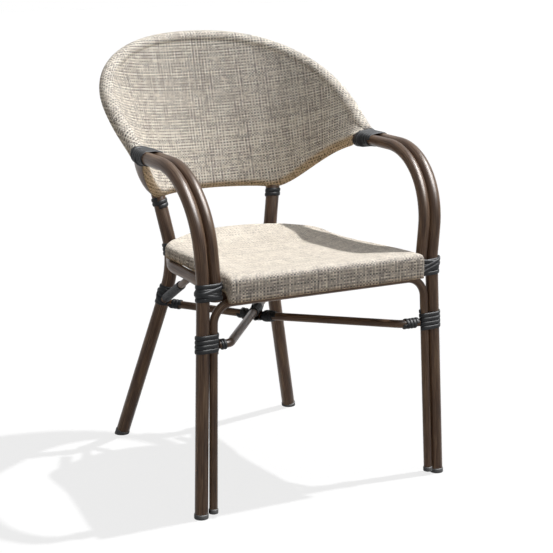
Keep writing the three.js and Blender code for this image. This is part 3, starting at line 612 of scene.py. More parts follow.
def add_side_windings(name, side):
    path = PATHS[name]
    arm, inner = (extended(path["arm"]), ARM_TUBE), (extended(path["inner_arm"]), INNER_ARM_TUBE)
    leg = (extended(path["rear_leg"]), REAR_LEG_TUBE)
    hoop, bar, u_side = (
        (side_half(extended(line), side), diameter)
        for line, diameter in ((HOOP, HOOP_TUBE), (BAR, BAR_TUBE), (U_TUBE, THIN_TUBE))
    )
    x = side * (ARM_REAR[0] - ARM_SPACING / 2)
    joint = [vec(x, y, ARM_REAR[2]) for y in ARM_JOINT]
    made = [winding(f"winding_arm_joint_{name}", joint, [hoop, arm, bar, inner], ARM_JOINT_LOOPS)]
    rear = {"slanting": REAR_LEG_SLANTING, "lashing": rear_coil(ROD_1 if side < 0 else ROD_2)}
    front = {"slanting": FRONT_SEAT_SLANTING[name], "share": FRONT_SEAT_SHARE}
    for label, tube_line, heights, loops, members, over in (
        ("upright_top", "rear_leg", (497.6, 523.1), 2, [leg], {}),
        ("upright_seat", "rear_leg", (396, 424), 3, [leg], {}),
        ("rear_leg", "rear_leg", (291, 339), 5, [leg], rear),
        ("front_seat", "arm", (409.5, 446), 4, [arm, inner], front),
        ("front_lower", "arm", FRONT_LOWER[name], 4, [arm, u_side], {}),
    ):
        ends = [point_where(path[tube_line], 2, z) for z in heights]
        made.append(winding(f"winding_{label}_{name}", ends, members, loops, **over))
    brace = brace_path(name, side)
    label = f"winding_brace_{name}"
    return [*made, single_winding(label, brace, BRACE_TUBE, BRACE_WINDING_START, BRACE_LOOPS)]


# Windings of the stretcher rods, at their front ends and at their crossing.

CROSSING_START = 10.5
CROSSING_LOOPS = 3
CROSSING_FRONT_SLANTING = ((13, 8), (21, 6))
CROSSING_REAR_SLANTING = ((13, -8), (21, -6))
CROSSING_REACH = 12
# Slanting loops round both rods: place, tilt and lift.
CROSSING_LASHING = ((8, 6, 0), (16, 6, 0), (12, -8, 0.8))
# The coil on the upper rod: lengths before the crossing and past it, and loops.
UPPER_COIL = (60, 12, 7)


def crossing_lashing(centre):
    """Slanting loops that hold both rods together where they cross, and a coil on the upper rod."""
    upper_rod = (extended(ROD_2), THIN_TUBE)
    ends = at_length(ROD_1, np.array([centre - CROSSING_REACH, centre + CROSSING_REACH]))
    both = Binding(*ends, [(extended(ROD_1), THIN_TUBE), upper_rod], LASHING_SHARE)
    for place, tilt, lift in CROSSING_LASHING:
        both.slanting_loop(place, tilt, lift)
    over = point_where(ROD_2, 0, 0)
    run = unit(ROD_2[-1] - over)
    before, past, loops = UPPER_COIL
    upper = Binding(over - run * before, over + run * past, [upper_rod])
    upper.coil(before + past, loops)
    both.join(upper)
    return both


def add_rod_windings():
    centre = lengths(ROD_1)[np.abs(ROD_1[:, 0]).argmin()]
    width = CROSSING_LOOPS * STRIP_PITCH + STRIP_WIDTH
    before, past = centre - CROSSING_START - width, centre + CROSSING_START
    front = {"slanting": CROSSING_FRONT_SLANTING, "lashing": crossing_lashing(centre)}
    rear = {"slanting": CROSSING_REAR_SLANTING}
    return [
        single_winding("winding_rod_end_left", ROD_2, THIN_TUBE, start=0.5, loops=2, share=0.62),
        single_winding("winding_rod_end_right", ROD_1, THIN_TUBE, start=1, loops=4, share=0.84),
        single_winding("winding_crossing_front", ROD_1, THIN_TUBE, before, CROSSING_LOOPS, **front),
        single_winding("winding_crossing_rear", ROD_1, THIN_TUBE, past, CROSSING_LOOPS, **rear),
    ]


def add_windings():
    made = [piece for name, side in SIDES for piece in add_side_windings(name, side)]
    return made + add_rod_windings()


# Tubes.


def add_tubes():
    made = [
        tube("back_hoop", HOOP, HOOP_TUBE),
        tube("back_lower_bar", BAR, BAR_TUBE),
        tube("front_u_tube", U_TUBE, THIN_TUBE),
        tube("cross_rod_1", trimmed(ROD_1, 0, ROD_REAR_TRIM), THIN_TUBE),
        tube("cross_rod_2", trimmed(ROD_2, 0, ROD_REAR_TRIM), THIN_TUBE),
    ]
    for name, side in SIDES:
        path = PATHS[name]
        made += [
            tube(f"arm_front_leg_{name}", path["arm"], ARM_TUBE),
            tube(f"inner_arm_{name}", path["inner_arm"], INNER_ARM_TUBE),
            tube(f"rear_leg_{name}", path["rear_leg"], REAR_LEG_TUBE),
            tube(f"seat_rail_{name}", trimmed(path["rail"], *RAIL_TRIMS), RAIL_TUBE),
            tube(f"corner_brace_{name}", trimmed(brace_path(name, side), *BRACE_TRIMS), BRACE_TUBE),
        ]
    for name in ("front", "rear"):
        low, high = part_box(f"seat_spreader_{name}")
        y, z = (((low + high) / 2)[k] / MM - SHIFT[k] for k in (1, 2))
        ends = [vec(low.x / MM, y, z), vec(high.x / MM, y, z)]
        made.append(tube(f"seat_spreader_{name}", np.array(ends), SPREADER_TUBE))
    return made


# Foot caps.

CAP_WALL = 1.2
CAP_SIDES = 32
CAP_GIRTH = 80
CAP_ROW = 2
# Height of each ring, and how far it is drawn in from the cap's outside.
CAP_RINGS = ((0, 1.1), (0.35, 0.3), (1.2, 0), (7.6, 0), (8.6, 0.3), (9, CAP_WALL))
# Rings below this height lie level over the floor, the others square to the leg.
CAP_LEVEL_TO = 2


def foot_cap(name, foot, above, diameter, side):
    """A cup round a tube's end, its underside level."""
    base, run = spot(foot, side), unit(spot(above, side) - spot(foot, side))
    across = unit(np.cross(run, vec(0, 1, 0)))
    other = np.cross(run, across)
    rings = []
    for height, inset in CAP_RINGS:
        radius = diameter / 2 + CAP_WALL - inset
        for k in range(CAP_SIDES):
            angle = 2 * pi * k / CAP_SIDES
            rim = radius * (cos(angle) * across + sin(angle) * other)
            rise = height if height > CAP_LEVEL_TO else height - rim[2]
            rings.append(base + rim + run * (rise / run[2]))
    faces, corners = grid_faces(len(CAP_RINGS), CAP_SIDES, flipped=True)
    faces.append(list(range(CAP_SIDES)))
    girth, row = CAP_GIRTH * MM, CAP_ROW * MM
    uvs = [(c / CAP_SIDES * girth, r * row) for square in corners for r, c in square]
    return add_object(name, rings, faces, uvs + [(0, 0)] * CAP_SIDES)


def add_caps():
    made = []
    for name, side in SIDES:
        for label, foot, above, diameter in (
            ("front", FRONT_FOOT, LEG_WAIST, ARM_TUBE),
            ("u", U_FOOT, U_CORNER, THIN_TUBE),
            ("rear", REAR_FOOT, REAR_KNEE, REAR_LEG_TUBE),
        ):
            made.append(foot_cap(f"foot_cap_{label}_{name}", foot, above, diameter, side))
    return made


# Seat: corners and bends of its outline, then the roll round the frame tube, as wide as the part's.

SEAT_CORNERS = (((211.5, -305.5, 0), 6), ((181, -62, 0), 500), ((185, 57, 0), 55))
SEAT_REAR = ((0, 150, 0), 220)
SEAT_MIDDLE = vec(0, -95, 0)
OUTLINE_BEND = radians(6)
OUTLINE_STEP = 7
LEAST_CORNER = 0.8
SEAT_FABRIC = 1.4
RIM_GAP = 0.8
RIM_WALL = 2.2
RIM_RADIUS = (FRAME_TUBE / 2 + RIM_GAP) / cos(pi / 8) + RIM_WALL

# Height of the rim: low at one place, rising to the front and to the rear.
CREST_LOW = 450
CREST_LOW_Y = 8
CREST_FRONT_RISE = 9.4
CREST_FRONT_SPAN = 300
CREST_REAR_RISE = 8.5
CREST_REAR_SPAN = 85

# Lower edge of the cloth, which hangs deeper in front.
SKIRT_BOTTOM = 426
APRON_BOTTOM = 411
APRON_TURN_FROM = -301
APRON_TURN_SPAN = 17

# Sag of the cloth inside the rim. Where the outline faces aside by more than the share, it is a side.
SEAT_SAG = 10
SIDE_SAG_RUN = 70
END_SAG_RUN = 110
SIDE_NORMAL_SHARE = 0.7

# Rings of the cloth: up the skirt, over the roll, then inwards by steps and by shares.
SKIRT_SHARES = (0, 0.02, 0.1, 0.25, 0.5, 0.75, 1)
ROLL_DEGREES = (15, 30, 45, 60, 75, 90)
# The painted shade of hanging cloth fades out over the roll by this angle.
ROLL_SHADE_TO = 60
INWARD_STEPS = (3, 7, 12, 18, 25, 33)
INWARD_SHARES = (0.06, 0.13, 0.21, 0.3, 0.4, 0.5, 0.6, 0.7, 0.8, 0.9, 0.97)
# Painted warm shade along the skirt's lower edge: how far above the edge it starts, and how far it
# fades.
SEAT_WARM_SHADE_FROM = 1
SEAT_WARM_SHADE_FADE = 7

# The frame tube inside the rim, eased at its corners.
FRAME_SIDES = 20
FRAME_STATIONS = 240
FRAME_EASINGS = 3
FRAME_END_GAP = 0.4


def cross_point(a, a_run, b, b_run):
    """Where two lines in plan cross."""
    offset = b - a
    share = (offset[0] * b_run[1] - offset[1] * b_run[0]) / (a_run[0] * b_run[1] - a_run[1] * b_run[0])
    return a + a_run * share


def inset_corners(corners, inset):
    """A plan outline drawn in on all sides, its round corners drawn in with it."""
    places = [vec(*at) for at, _ in corners]
    runs = [unit(b - a) for a, b in zip(places, places[1:] + places[:1])]
    moved = [p + vec(-r[1], r[0], 0) * inset for p, r in zip(places, runs)]
    drawn = []
    for i, (_, bend) in enumerate(corners):
        before, here = runs[i - 1], runs[i]
        outward = before[0] * here[1] - before[1] * here[0] > 0
        at = cross_point(moved[i - 1], before, moved[i], here)
        drawn.append((at, max(bend - inset, LEAST_CORNER) if outward else bend + inset))
    return drawn


def seat_outline(inset):
    """The seat's outline in plan, drawn in, from the middle of its front round to the same point."""
    left = [((-x, y, z), bend) for (x, y, z), bend in reversed(SEAT_CORNERS)]
    corners = inset_corners([*SEAT_CORNERS, SEAT_REAR, *left], inset)
    start = (vec(0, corners[0][0][1], 0), 0)
    return bent_path([start, *corners, start], OUTLINE_BEND)


SEAT_SPLITS = [max(1, round(step / OUTLINE_STEP)) for step in np.diff(lengths(seat_outline(0)))]


def seat_ring(inset):
    """The outline drawn in, with long steps split, always with the same number of stations."""
    line = seat_outline(inset)
    stations = []
    for here, there, count in zip(line, line[1:], SEAT_SPLITS):
        stations += [lerp(here, there, k / count) for k in range(count)]
    return np.array(stations)


OUTLINE = seat_ring(0)
INNER_LINE = seat_ring(RIM_RADIUS)
RUNS = directions(OUTLINE, closed=True)
NORMALS = np.stack([RUNS[:, 1], -RUNS[:, 0], np.zeros(len(RUNS))], axis=1)


def crest_at(y):
    front = CREST_LOW + CREST_FRONT_RISE * smoothstep((CREST_LOW_Y - y) / CREST_FRONT_SPAN)
    rear = CREST_LOW + CREST_REAR_RISE * np.clip((y - CREST_LOW_Y) / CREST_REAR_SPAN, 0, 1) ** 2
    return np.where(y < CREST_LOW_Y, front, rear)


def skirt_end_at(y):
    return lerp(APRON_BOTTOM, SKIRT_BOTTOM, smoothstep((y - APRON_TURN_FROM) / APRON_TURN_SPAN))


def edge_distance(points, rows):
    """Least plan distance from points to the outline's segments that start at the given rows."""
    a = OUTLINE[rows][:, :2]
    b = np.roll(OUTLINE, -1, axis=0)[rows][:, :2]
    run = b - a
    offset = points[:, None, :2] - a[None]
    share = np.clip((offset * run).sum(2) / (run**2).sum(1), 0, 1)
    return np.linalg.norm(offset - share[..., None] * run, axis=2).min(1)


def seat_heights(points):
    aside = np.abs(NORMALS[:, 0]) > SIDE_NORMAL_SHARE
    side = smoothstep((edge_distance(points, np.flatnonzero(aside)) - RIM_RADIUS) / SIDE_SAG_RUN)
    end = smoothstep((edge_distance(points, np.flatnonzero(~aside)) - RIM_RADIUS) / END_SAG_RUN)
    return crest_at(points[:, 1]) - SEAT_SAG * side * end


def seat_rings():
    """Rings of the cloth's outer face, each with its place on the flat cloth and how far it hangs, which
    sets how much painted shade it gets.
    """
    axis_height = crest_at(OUTLINE[:, 1]) - RIM_RADIUS
    bottom = skirt_end_at(OUTLINE[:, 1])
    quarter = RIM_RADIUS * pi / 2
    rings = []
    for share in SKIRT_SHARES:
        ring = OUTLINE.copy()
        ring[:, 2] = lerp(bottom, axis_height, share)
        drop = axis_height - ring[:, 2] + quarter
        rings.append((ring, INNER_LINE + NORMALS * drop[:, None], 1.0))
    for turned in ROLL_DEGREES:
        angle = radians(turned)
        ring = seat_ring(RIM_RADIUS * (1 - cos(angle)))
        ring[:, 2] = axis_height + RIM_RADIUS * sin(angle)
        arc = quarter - RIM_RADIUS * angle
        rings.append((ring, INNER_LINE + NORMALS * arc, max(0, 1 - turned / ROLL_SHADE_TO)))
    inward = [seat_ring(RIM_RADIUS + step) for step in INWARD_STEPS]
    inward += [lerp(inward[-1], SEAT_MIDDLE, share) for share in INWARD_SHARES]
    for ring in inward:
        ring[:, 2] = seat_heights(ring)
        rings.append((ring, ring, 0.0))
    return rings


def add_seat():
    rings = seat_rings()
    count = len(OUTLINE)
    middle = SEAT_MIDDLE.copy()
    middle[2] = seat_heights(middle[None])[0]
    points = np.vstack([*(ring for ring, _, _ in rings), middle])
    flat = np.vstack([*(place for _, place, _ in rings), middle])[:, :2] * MM
    side = np.concatenate([*(np.full(count, hang_shade) for _, _, hang_shade in rings), [0.0]])
    faces, corners = grid_faces(len(rings), count)
    uvs = [flat[r * count + c % count] for square in corners for r, c in square]
    last = len(points) - 1
    start = last - count
    fan = [[start + c, start + (c + 1) % count, last] for c in range(count)]
    uvs += [flat[i] for face in fan for i in face]
    piece = add_object("seat_fabric", points, faces + fan, uvs)
    above = points[:, 2] - np.append(np.tile(skirt_end_at(OUTLINE[:, 1]), len(rings)), 0)
    # This mark gives hanging cloth painted shade and lying cloth painted light.
    mark(piece, "side", side)
    # Painted warm shade near the skirt's lower edge, on hanging cloth only.
    mark(piece, "painted_warm_shade", (1 - smoothstep((above - SEAT_WARM_SHADE_FROM) / SEAT_WARM_SHADE_FADE)) * side)
    thicken(piece, SEAT_FABRIC)
    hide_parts("seat_sling")
    return piece


def add_seat_frame():
    """The tube inside the rim, from the rear round to the rear."""
    axis = seat_ring(RIM_RADIUS)
    axis[:, 2] = crest_at(OUTLINE[:, 1]) - RIM_RADIUS
    rear = int(OUTLINE[:, 1].argmax())
    line = at_share(np.vstack([axis[rear:], axis[: rear + 1]]), np.linspace(0, 1, FRAME_STATIONS))
    for _ in range(FRAME_EASINGS):
        line[1:-1] = (line[:-2] + line[1:-1] * 2 + line[2:]) / 4
    return tube("seat_frame", trimmed(line, FRAME_END_GAP, FRAME_END_GAP), FRAME_TUBE, FRAME_SIDES)


# Back: one cloth that goes round the hoop, leaves it at the front and ends round the lower bar. Angles
# round a tube are in degrees, from the front and upwards.

BACK_FABRIC = 1.2
BACK_REACH = 0.974
BACK_COLUMNS = 170
SLEEVE_START = 316
SLEEVE_ROWS = 34
SEAM_ANGLE = -30
SEAM_STEP = 6
PANEL_ROWS = 32
BAR_WRAP = 104
BAR_ROWS = 12
# Painted warm shade where the cloth wraps under the bar: where it starts, and how far it fades.
BACK_WARM_SHADE_FROM = 1.5
BACK_WARM_SHADE_FADE = 8
# How far the cloth's outer face stands off the hoop, there near the hoop's ends, and off the bar.
SLEEVE_STAND = 1.85
SLEEVE_END_STAND = 0.9
SLEEVE_END_SHARE = 0.05
BAR_STAND = 1.9

SLEEVE_ANGLES = np.radians([*np.linspace(SLEEVE_START, SEAM_ANGLE + SEAM_STEP, SLEEVE_ROWS), SEAM_ANGLE])
PANEL_SHARES = [0.006, 0.02, *np.linspace(0.04, 1, PANEL_ROWS)]
BAR_ANGLES = np.radians(np.linspace(0, -BAR_WRAP, BAR_ROWS + 1)[1:])
BAR_RADIUS = BAR_TUBE / 2 + BAR_STAND
# Places of the seam and of the bar's front in a section.
SEAM = len(SLEEVE_ANGLES) - 1
FOOT = SEAM + len(PANEL_SHARES)


def back_directions(line, share, rise):
    """Directions that the cloth faces at a tube: to the front, and up along the cloth."""
    step = 1 / HOOP_STEPS
    run = unit(at_share(line, min(share + step, 1)) - at_share(line, max(share - step, 0)))
    front = unit(np.cross(run, rise))
    return front, np.cross(front, run)


def round_tube(middle, radius, angles, front, up):
    return [middle + radius * (cos(a) * front + sin(a) * up) for a in angles]


def back_section(share):
    """The cloth's section from its rear edge on the hoop to its edge under the lower bar."""
    near_end = 1 - smoothstep(min(share, 1 - share) / SLEEVE_END_SHARE)
    radius = HOOP_TUBE / 2 + lerp(SLEEVE_STAND, SLEEVE_END_STAND, near_end)
    high, low = at_share(HOOP, share), at_share(BAR, share)
    rise = unit(high - low)
    sleeve = round_tube(high, radius, SLEEVE_ANGLES, *back_directions(HOOP, share, rise))
    front, up = back_directions(BAR, share, rise)
    foot = low + front * BAR_RADIUS
    panel = [lerp(sleeve[-1], foot, s) for s in PANEL_SHARES]
    return sleeve + panel + round_tube(low, BAR_RADIUS, BAR_ANGLES, front, up)


def laid_corner(a, b, from_a, from_b, way):
    """The corner of a flat triangle over the side a to b, to the right of it where way is 1."""
    run = b - a
    span = np.linalg.norm(run)
    ahead = (from_a**2 - from_b**2 + span**2) / (2 * span)
    aside = way * sqrt(max(from_a**2 - ahead**2, 0))
    return a + run / span * ahead + vec(-run[1], run[0]) / span * aside


def laid_flat(tops, feet):
    """Both long edges of a ruled sheet once it is laid flat, from its middle outwards."""
    middle = len(tops) // 2
    flat_tops, flat_feet = np.zeros((2, len(tops), 2))
    flat_feet[middle] = (0, -apart(tops[middle], feet[middle]))
    for way in (1, -1):
        i = middle
        while 0 <= i + way < len(tops):
            j = i + way
            sides = apart(tops[i], tops[j]), apart(feet[i], tops[j])
            flat_tops[j] = laid_corner(flat_tops[i], flat_feet[i], *sides, way)
            sides = apart(tops[j], feet[j]), apart(feet[i], feet[j])
            flat_feet[j] = laid_corner(flat_tops[j], flat_feet[i], *sides, way)
            i = j
    return flat_tops, flat_feet


def edge_normals(flat_edge):
    runs = np.gradient(flat_edge, axis=0)
    runs /= np.linalg.norm(runs, axis=1)[:, None]
    return np.stack([-runs[:, 1], runs[:, 0]], axis=1)


def section_runs(rows, near, far):
    """Length of each section between two of its places."""
    return np.linalg.norm(np.diff(rows[:, near : far + 1], axis=1), axis=2).sum(1)[:, None]


def flat_pattern(rows):
    """Places of the sections' points on the cloth laid flat."""
    flat_tops, flat_feet = laid_flat(rows[:, SEAM], rows[:, FOOT])
    up, down = edge_normals(flat_tops), -edge_normals(flat_feet)
    flat = np.zeros((*rows.shape[:2], 2))
    for c in range(rows.shape[1]):
        if c < SEAM:
            flat[:, c] = flat_tops + up * section_runs(rows, c, SEAM)
        elif c <= FOOT:
            flat[:, c] = lerp(flat_tops, flat_feet, [0, *PANEL_SHARES][c - SEAM])
        else:
            flat[:, c] = flat_feet + down * section_runs(rows, FOOT, c)
    return flat


def add_back():
    shares = np.linspace(0.5 - BACK_REACH / 2, 0.5 + BACK_REACH / 2, BACK_COLUMNS + 1)
    rows = np.array([back_section(share) for share in shares])
    flat = flat_pattern(rows)
    wrapped = np.zeros(rows.shape[:2])
    wrapped[:, FOOT:] = BAR_RADIUS * radians(BAR_WRAP) * np.linspace(0, 1, BAR_ROWS + 1)
    faces, corners = grid_faces(*rows.shape[:2], closed=False, flipped=True)
    uvs = [flat[r, c] * MM for square in corners for r, c in square]
    piece = add_object("back_fabric", np.vstack(rows), faces, uvs)
    # The back gets no painted side shade.
    mark(piece, "side", np.zeros(wrapped.size))
    # Painted warm shade, growing as the cloth wraps under the bar.
    mark(piece, "painted_warm_shade", smoothstep((wrapped - BACK_WARM_SHADE_FROM) / BACK_WARM_SHADE_FADE).ravel())
    thicken(piece, BACK_FABRIC)
    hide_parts("back_sling")
    return piece, flat


# Materials.


class Nodes:
    """Short calls that add and link the nodes of a material or a world."""

    def __init__(self, owner, shader="Principled BSDF"):
        self.owner = owner
        self.owner.use_nodes = True
        self.tree = owner.node_tree
        self.shader = self.tree.nodes[shader]

    def add(self, kind, inputs=(), **settings):
        node = self.tree.nodes.new(kind)
        for key, value in settings.items():
            setattr(node, key, value)
        for key, value in dict(inputs).items():
            self.put(node.inputs[key], value)
        return node

    def put(self, socket, value):
        if isinstance(value, bpy.types.NodeSocket):
            self.tree.links.new(value, socket)
        else:
            socket.default_value = value

    def math(self, operation, a, b=0.0, c=0.0):
        node = self.add("ShaderNodeMath", operation=operation)
        for socket, value in zip(node.inputs, (a, b, c)):
            self.put(socket, value)
        return node.outputs[0]

    def plus(self, a, b):
        return self.math("ADD", a, b)

    def minus(self, a, b):
        return self.math("SUBTRACT", a, b)

    def times(self, a, b):
        return self.math("MULTIPLY", a, b)

    def scaled(self, value, factor, offset):
        return self.plus(self.times(value, factor), offset)

    def mix(self, share, a, b, blend="MIX"):
        """A mix of two colours. They go in at sockets 6 and 7, and the result comes out at 2."""
        inputs = {"Factor": share, 6: a, 7: b}
        return self.add("ShaderNodeMix", inputs, data_type="RGBA", blend_type=blend).outputs[2]

    def uv(self):
        node = self.add("ShaderNodeUVMap", uv_map="cloth")
        split = self.add("ShaderNodeSeparateXYZ", {"Vector": node.outputs[0]})
        return split.outputs[0], split.outputs[1]

    def vector(self, x, y, z=0.0):
        return self.add("ShaderNodeCombineXYZ", {"X": x, "Y": y, "Z": z}).outputs[0]

    def noise(self, vector, scale, detail, roughness):
        inputs = {"Vector": vector, "Scale": scale, "Detail": detail, "Roughness": roughness}
        return self.add("ShaderNodeTexNoise", inputs).outputs["Fac"]

    def streaks(self, across, along, detail, roughness, seed=0.0):
        """Noise with a number of waves to the metre across a tube or strip and along it."""
        u, v = self.uv()
        place = self.vector(self.times(u, across), self.times(v, along), seed)
        return self.noise(place, 1, detail, roughness)

    def ramp(self, share, stops):
        node = self.add("ShaderNodeValToRGB", {"Fac": share})
        ramp = node.color_ramp
        ramp.elements[0].position, ramp.elements[0].color = stops[0][0], (*stops[0][1], 1)
        ramp.elements[1].position, ramp.elements[1].color = stops[-1][0], (*stops[-1][1], 1)
        for place, colour in stops[1:-1]:
            ramp.elements.new(place).color = (*colour, 1)
        return node.outputs[0]

    def bump(self, height, distance, strength):
        node = self.add("ShaderNodeBump", {"Height": height, "Distance": distance, "Strength": strength})
        self.put(self.shader.inputs["Normal"], node.outputs[0])

    def seen(self):
        """1 for rays that show a thing in the picture, straight or mirrored or through, else 0."""
        path = self.add("ShaderNodeLightPath")
        direct = self.math("MAXIMUM", path.outputs["Is Camera Ray"], path.outputs["Is Glossy Ray"])
        return self.math("MAXIMUM", direct, path.outputs["Is Transmission Ray"])

    def set(self, **values):
        for key, value in values.items():
            self.put(self.shader.inputs[key.replace("_", " ")], value)
        return self.owner


def material_nodes(name):
    return Nodes(bpy.data.materials.new(name))


PAINT_STOPS = ((0.36, (0.032, 0.015, 0.009)), (0.5, (0.125, 0.072, 0.044)), (0.66, (0.27, 0.18, 0.11)))
STRIP_STOPS = ((0.35, (0.011, 0.012, 0.014)), (0.65, (0.04, 0.043, 0.048)))
RUBBER_STOPS = ((0.3, (0.008, 0.008, 0.008)), (0.7, (0.022, 0.022, 0.023)))
YARN_STOPS = (
    (0.0, (0.03, 0.027, 0.026)),
    (0.3, (0.14, 0.119, 0.103)),
    (0.6, (0.44, 0.385, 0.325)),
    (0.85, (0.8, 0.725, 0.615)),
    (1.0, (0.9, 0.845, 0.745)),
)


def paint_material():
    """Cane look paint: fine streaks along the tube over broad clouds."""
    n = material_nodes("cane_paint")
    fine = n.streaks(across=900, along=14, detail=4, roughness=0.6, seed=1)
    broad = n.streaks(across=110, along=9, detail=3, roughness=0.5, seed=4)
    colour = n.ramp(n.scaled(fine, 0.62, n.times(broad, 0.38)), PAINT_STOPS)
    n.bump(fine, distance=0.0002, strength=0.5)
    return n.set(Base_Color=colour, Roughness=n.scaled(fine, 0.2, 0.26), Specular_IOR_Level=0.22)


def strip_material():
    """Binding strip: charcoal with fine ribs along it."""
    n = material_nodes("binding_strip")
    ribs = n.streaks(across=1500, along=25, detail=3, roughness=0.6)
    blotch = n.streaks(across=60, along=60, detail=2, roughness=0.5)
    colour = n.ramp(n.scaled(ribs, 0.5, n.times(blotch, 0.5)), STRIP_STOPS)
    n.bump(ribs, distance=0.0004, strength=0.6)
    return n.set(Base_Color=colour, Roughness=n.scaled(ribs, 0.3, 0.34), Specular_IOR_Level=0.18)


def rubber_material():
    """Foot caps: matt, nearly black, with a fine grain."""
    n = material_nodes("foot_cap")
    place = n.add("ShaderNodeTexCoord").outputs["Object"]
    grain = n.noise(place, scale=900, detail=3, roughness=0.6)
    n.bump(grain, distance=0.0003, strength=0.4)
    return n.set(Base_Color=n.ramp(grain, RUBBER_STOPS), Roughness=n.scaled(grain, 0.3, 0.5))


# Woven cloth. Pitches are in metres, and the other values are in yarns, in shares or in levels of tone.

WARP_PITCH = 0.0034
WEFT_PITCH = 0.0031
WANDER_SCALE = 18
WANDER_REACH = 0.7
DRIFT_STEP = 7.31
WEFT_DARKER = 0.05
GAP_SHADE = 0.36
GAP_RISE = 1.8
# Painted warm shade at the cloth's lower edges: how much of the tint is painted in, and the tint, darker
# and golden.
WARM_SHADE_SHARE = 0.85
WARM_SHADE_TINT = (0.72, 0.57, 0.38, 1)
# The seat's lying top is painted lighter and less mottled as painted light, and its hanging skirt and
# apron darker as painted shade. The back has one tone.
SEAT_LIT_SHADED_TONES = {"dark": (0.72, 0.32), "light": (0.8, 0.66), "mottle": 0.5, "seed": 2}
BACK_TONES = {"dark": (0.36, 0.36), "light": (0.84, 0.84), "mottle": 1, "seed": 11}


def yarn_profile(n, x):
    """Height of a round yarn, from its middle (0) to its sides."""
    square = n.math("POWER", n.times(n.math("ABSOLUTE", x), 2.0), 2)
    return n.math("SQRT", n.math("MAXIMUM", n.minus(1, square), 0))


def yarn_crown(n, x, direction):
    """Rise of a yarn along its run, over the other yarn where the direction is 1 and under it at -1."""
    wave = n.times(n.math("COSINE", n.times(x, pi)), direction)
    return n.scaled(wave, 0.5, 0.5)


def yarn_tone(n, yarn, run, level, shown, seed, slowness, own, drift):
    """Tone of a yarn: its own level, and a slow change along it, both as far as they are shown."""
    white = n.add("ShaderNodeTexWhiteNoise", {"Vector": n.vector(yarn, seed)}, noise_dimensions="2D")
    place = n.vector(n.times(run, slowness), n.times(yarn, DRIFT_STEP), seed)
    change = n.noise(place, scale=1, detail=1, roughness=0.55)
    own_part = n.times(n.minus(white.outputs["Value"], 0.5), own)
    return n.math("MULTIPLY_ADD", n.plus(own_part, n.times(n.minus(change, 0.5), drift)), shown, level)


def yarn_places(n, seed):
    """Places across and along the weave, counted in yarns, with a slow wander."""
    u, v = n.uv()
    wander = n.noise(n.vector(u, v, seed), WANDER_SCALE, detail=2, roughness=0.5)
    shift = n.times(n.minus(wander, 0.5), WANDER_REACH)
    across = n.plus(n.math("DIVIDE", u, WARP_PITCH), shift)
    return across, n.plus(n.math("DIVIDE", v, WEFT_PITCH), shift)


def weave_material(name, dark, light, mottle, seed):
    """Plain weave of round yarns: light warp, and weft that is dark and light by turns, mottled.

    Each pair of levels is for cloth that lies and for cloth that hangs down at a side, and the mottle is
    the share of it that lying cloth shows.
    Where the pairs differ, the lying cloth is painted lighter and less mottled as painted light, and the
    hanging cloth darker as painted shade. Near the lower edges a golden tint is painted in as painted
    warm shade.
    """
    n = material_nodes(name)
    across, along = yarn_places(n, seed)
    column, row = n.math("FLOOR", across), n.math("FLOOR", along)
    side = n.minus(n.math("FRACT", across), 0.5)
    rise = n.minus(n.math("FRACT", along), 0.5)
    parity = n.math("FLOORED_MODULO", n.plus(column, row), 2)
    sign = n.scaled(parity, 2, -1)
    warp = n.times(yarn_profile(n, side), yarn_crown(n, rise, sign))
    weft = n.times(yarn_profile(n, rise), yarn_crown(n, side, n.times(sign, -1)))
    height = n.math("MAXIMUM", warp, weft)

    # Share of painted shade: 1 on hanging cloth; where it is 0, lying cloth gets painted light.
    side_shade = n.add("ShaderNodeAttribute", attribute_name="side").outputs["Fac"]
    # Where the cloth gets painted warm shade near its lower edges.
    painted_warm_shade = n.add("ShaderNodeAttribute", attribute_name="painted_warm_shade").outputs["Fac"]

    def level(pair):
        return n.scaled(side_shade, pair[1] - pair[0], pair[0])

    warp_level, dark_level, shown = level(light), level(dark), level((mottle, 1))
    lighter = n.minus(n.minus(warp_level, WEFT_DARKER), dark_level)
    weft_level = n.scaled(n.math("FLOORED_MODULO", row, 2), lighter, dark_level)
    warp_tone = yarn_tone(n, column, along, warp_level, shown, seed, 0.16, own=0.24, drift=1.1)
    weft_tone = yarn_tone(n, row, across, weft_level, shown, seed + 5, 0.2, own=0.34, drift=1.5)
    over = n.math("GREATER_THAN", warp, weft)
    tone = n.add("ShaderNodeMix", {"Factor": over, "A": weft_tone, "B": warp_tone}).outputs[0]
    gap = n.math("MINIMUM", n.scaled(height, GAP_RISE, GAP_SHADE), 1)
    shade = n.mix(1.0, n.ramp(tone, YARN_STOPS), n.vector(gap, gap, gap), "MULTIPLY")
    # Painted warm shade: the cloth is tinted darker and golden where that mark is set.
    warm_shaded = n.mix(n.times(painted_warm_shade, WARM_SHADE_SHARE), shade, WARM_SHADE_TINT, "MULTIPLY")
    n.bump(height, distance=0.0006, strength=0.7)
    return n.set(Base_Color=warm_shaded, Roughness=0.8, Specular_IOR_Level=0.3)


# The stage. The floor and the world are white where they are seen, and dimmer as light on the chair.

FLOOR_REACH = 12000
FLOOR_BOUNCE = (0.34, 0.305, 0.265, 1)
FLOOR_SEEN = (0.2, 0.2, 0.2, 1)
FLOOR_GLOW = 0.79
WORLD_DIM = 0.2
WHITE = (1, 1, 1, 1)


def floor_material():
    """Pale floor that shows white to the camera and keeps the chair's shadow."""
    n = material_nodes("floor")
    seen = n.seen()
    glow = n.times(seen, FLOOR_GLOW)
    n.set(Base_Color=n.mix(seen, FLOOR_BOUNCE, FLOOR_SEEN), Roughness=0.9, Specular_IOR_Level=0.0)
    return n.set(Emission_Color=WHITE, Emission_Strength=glow)


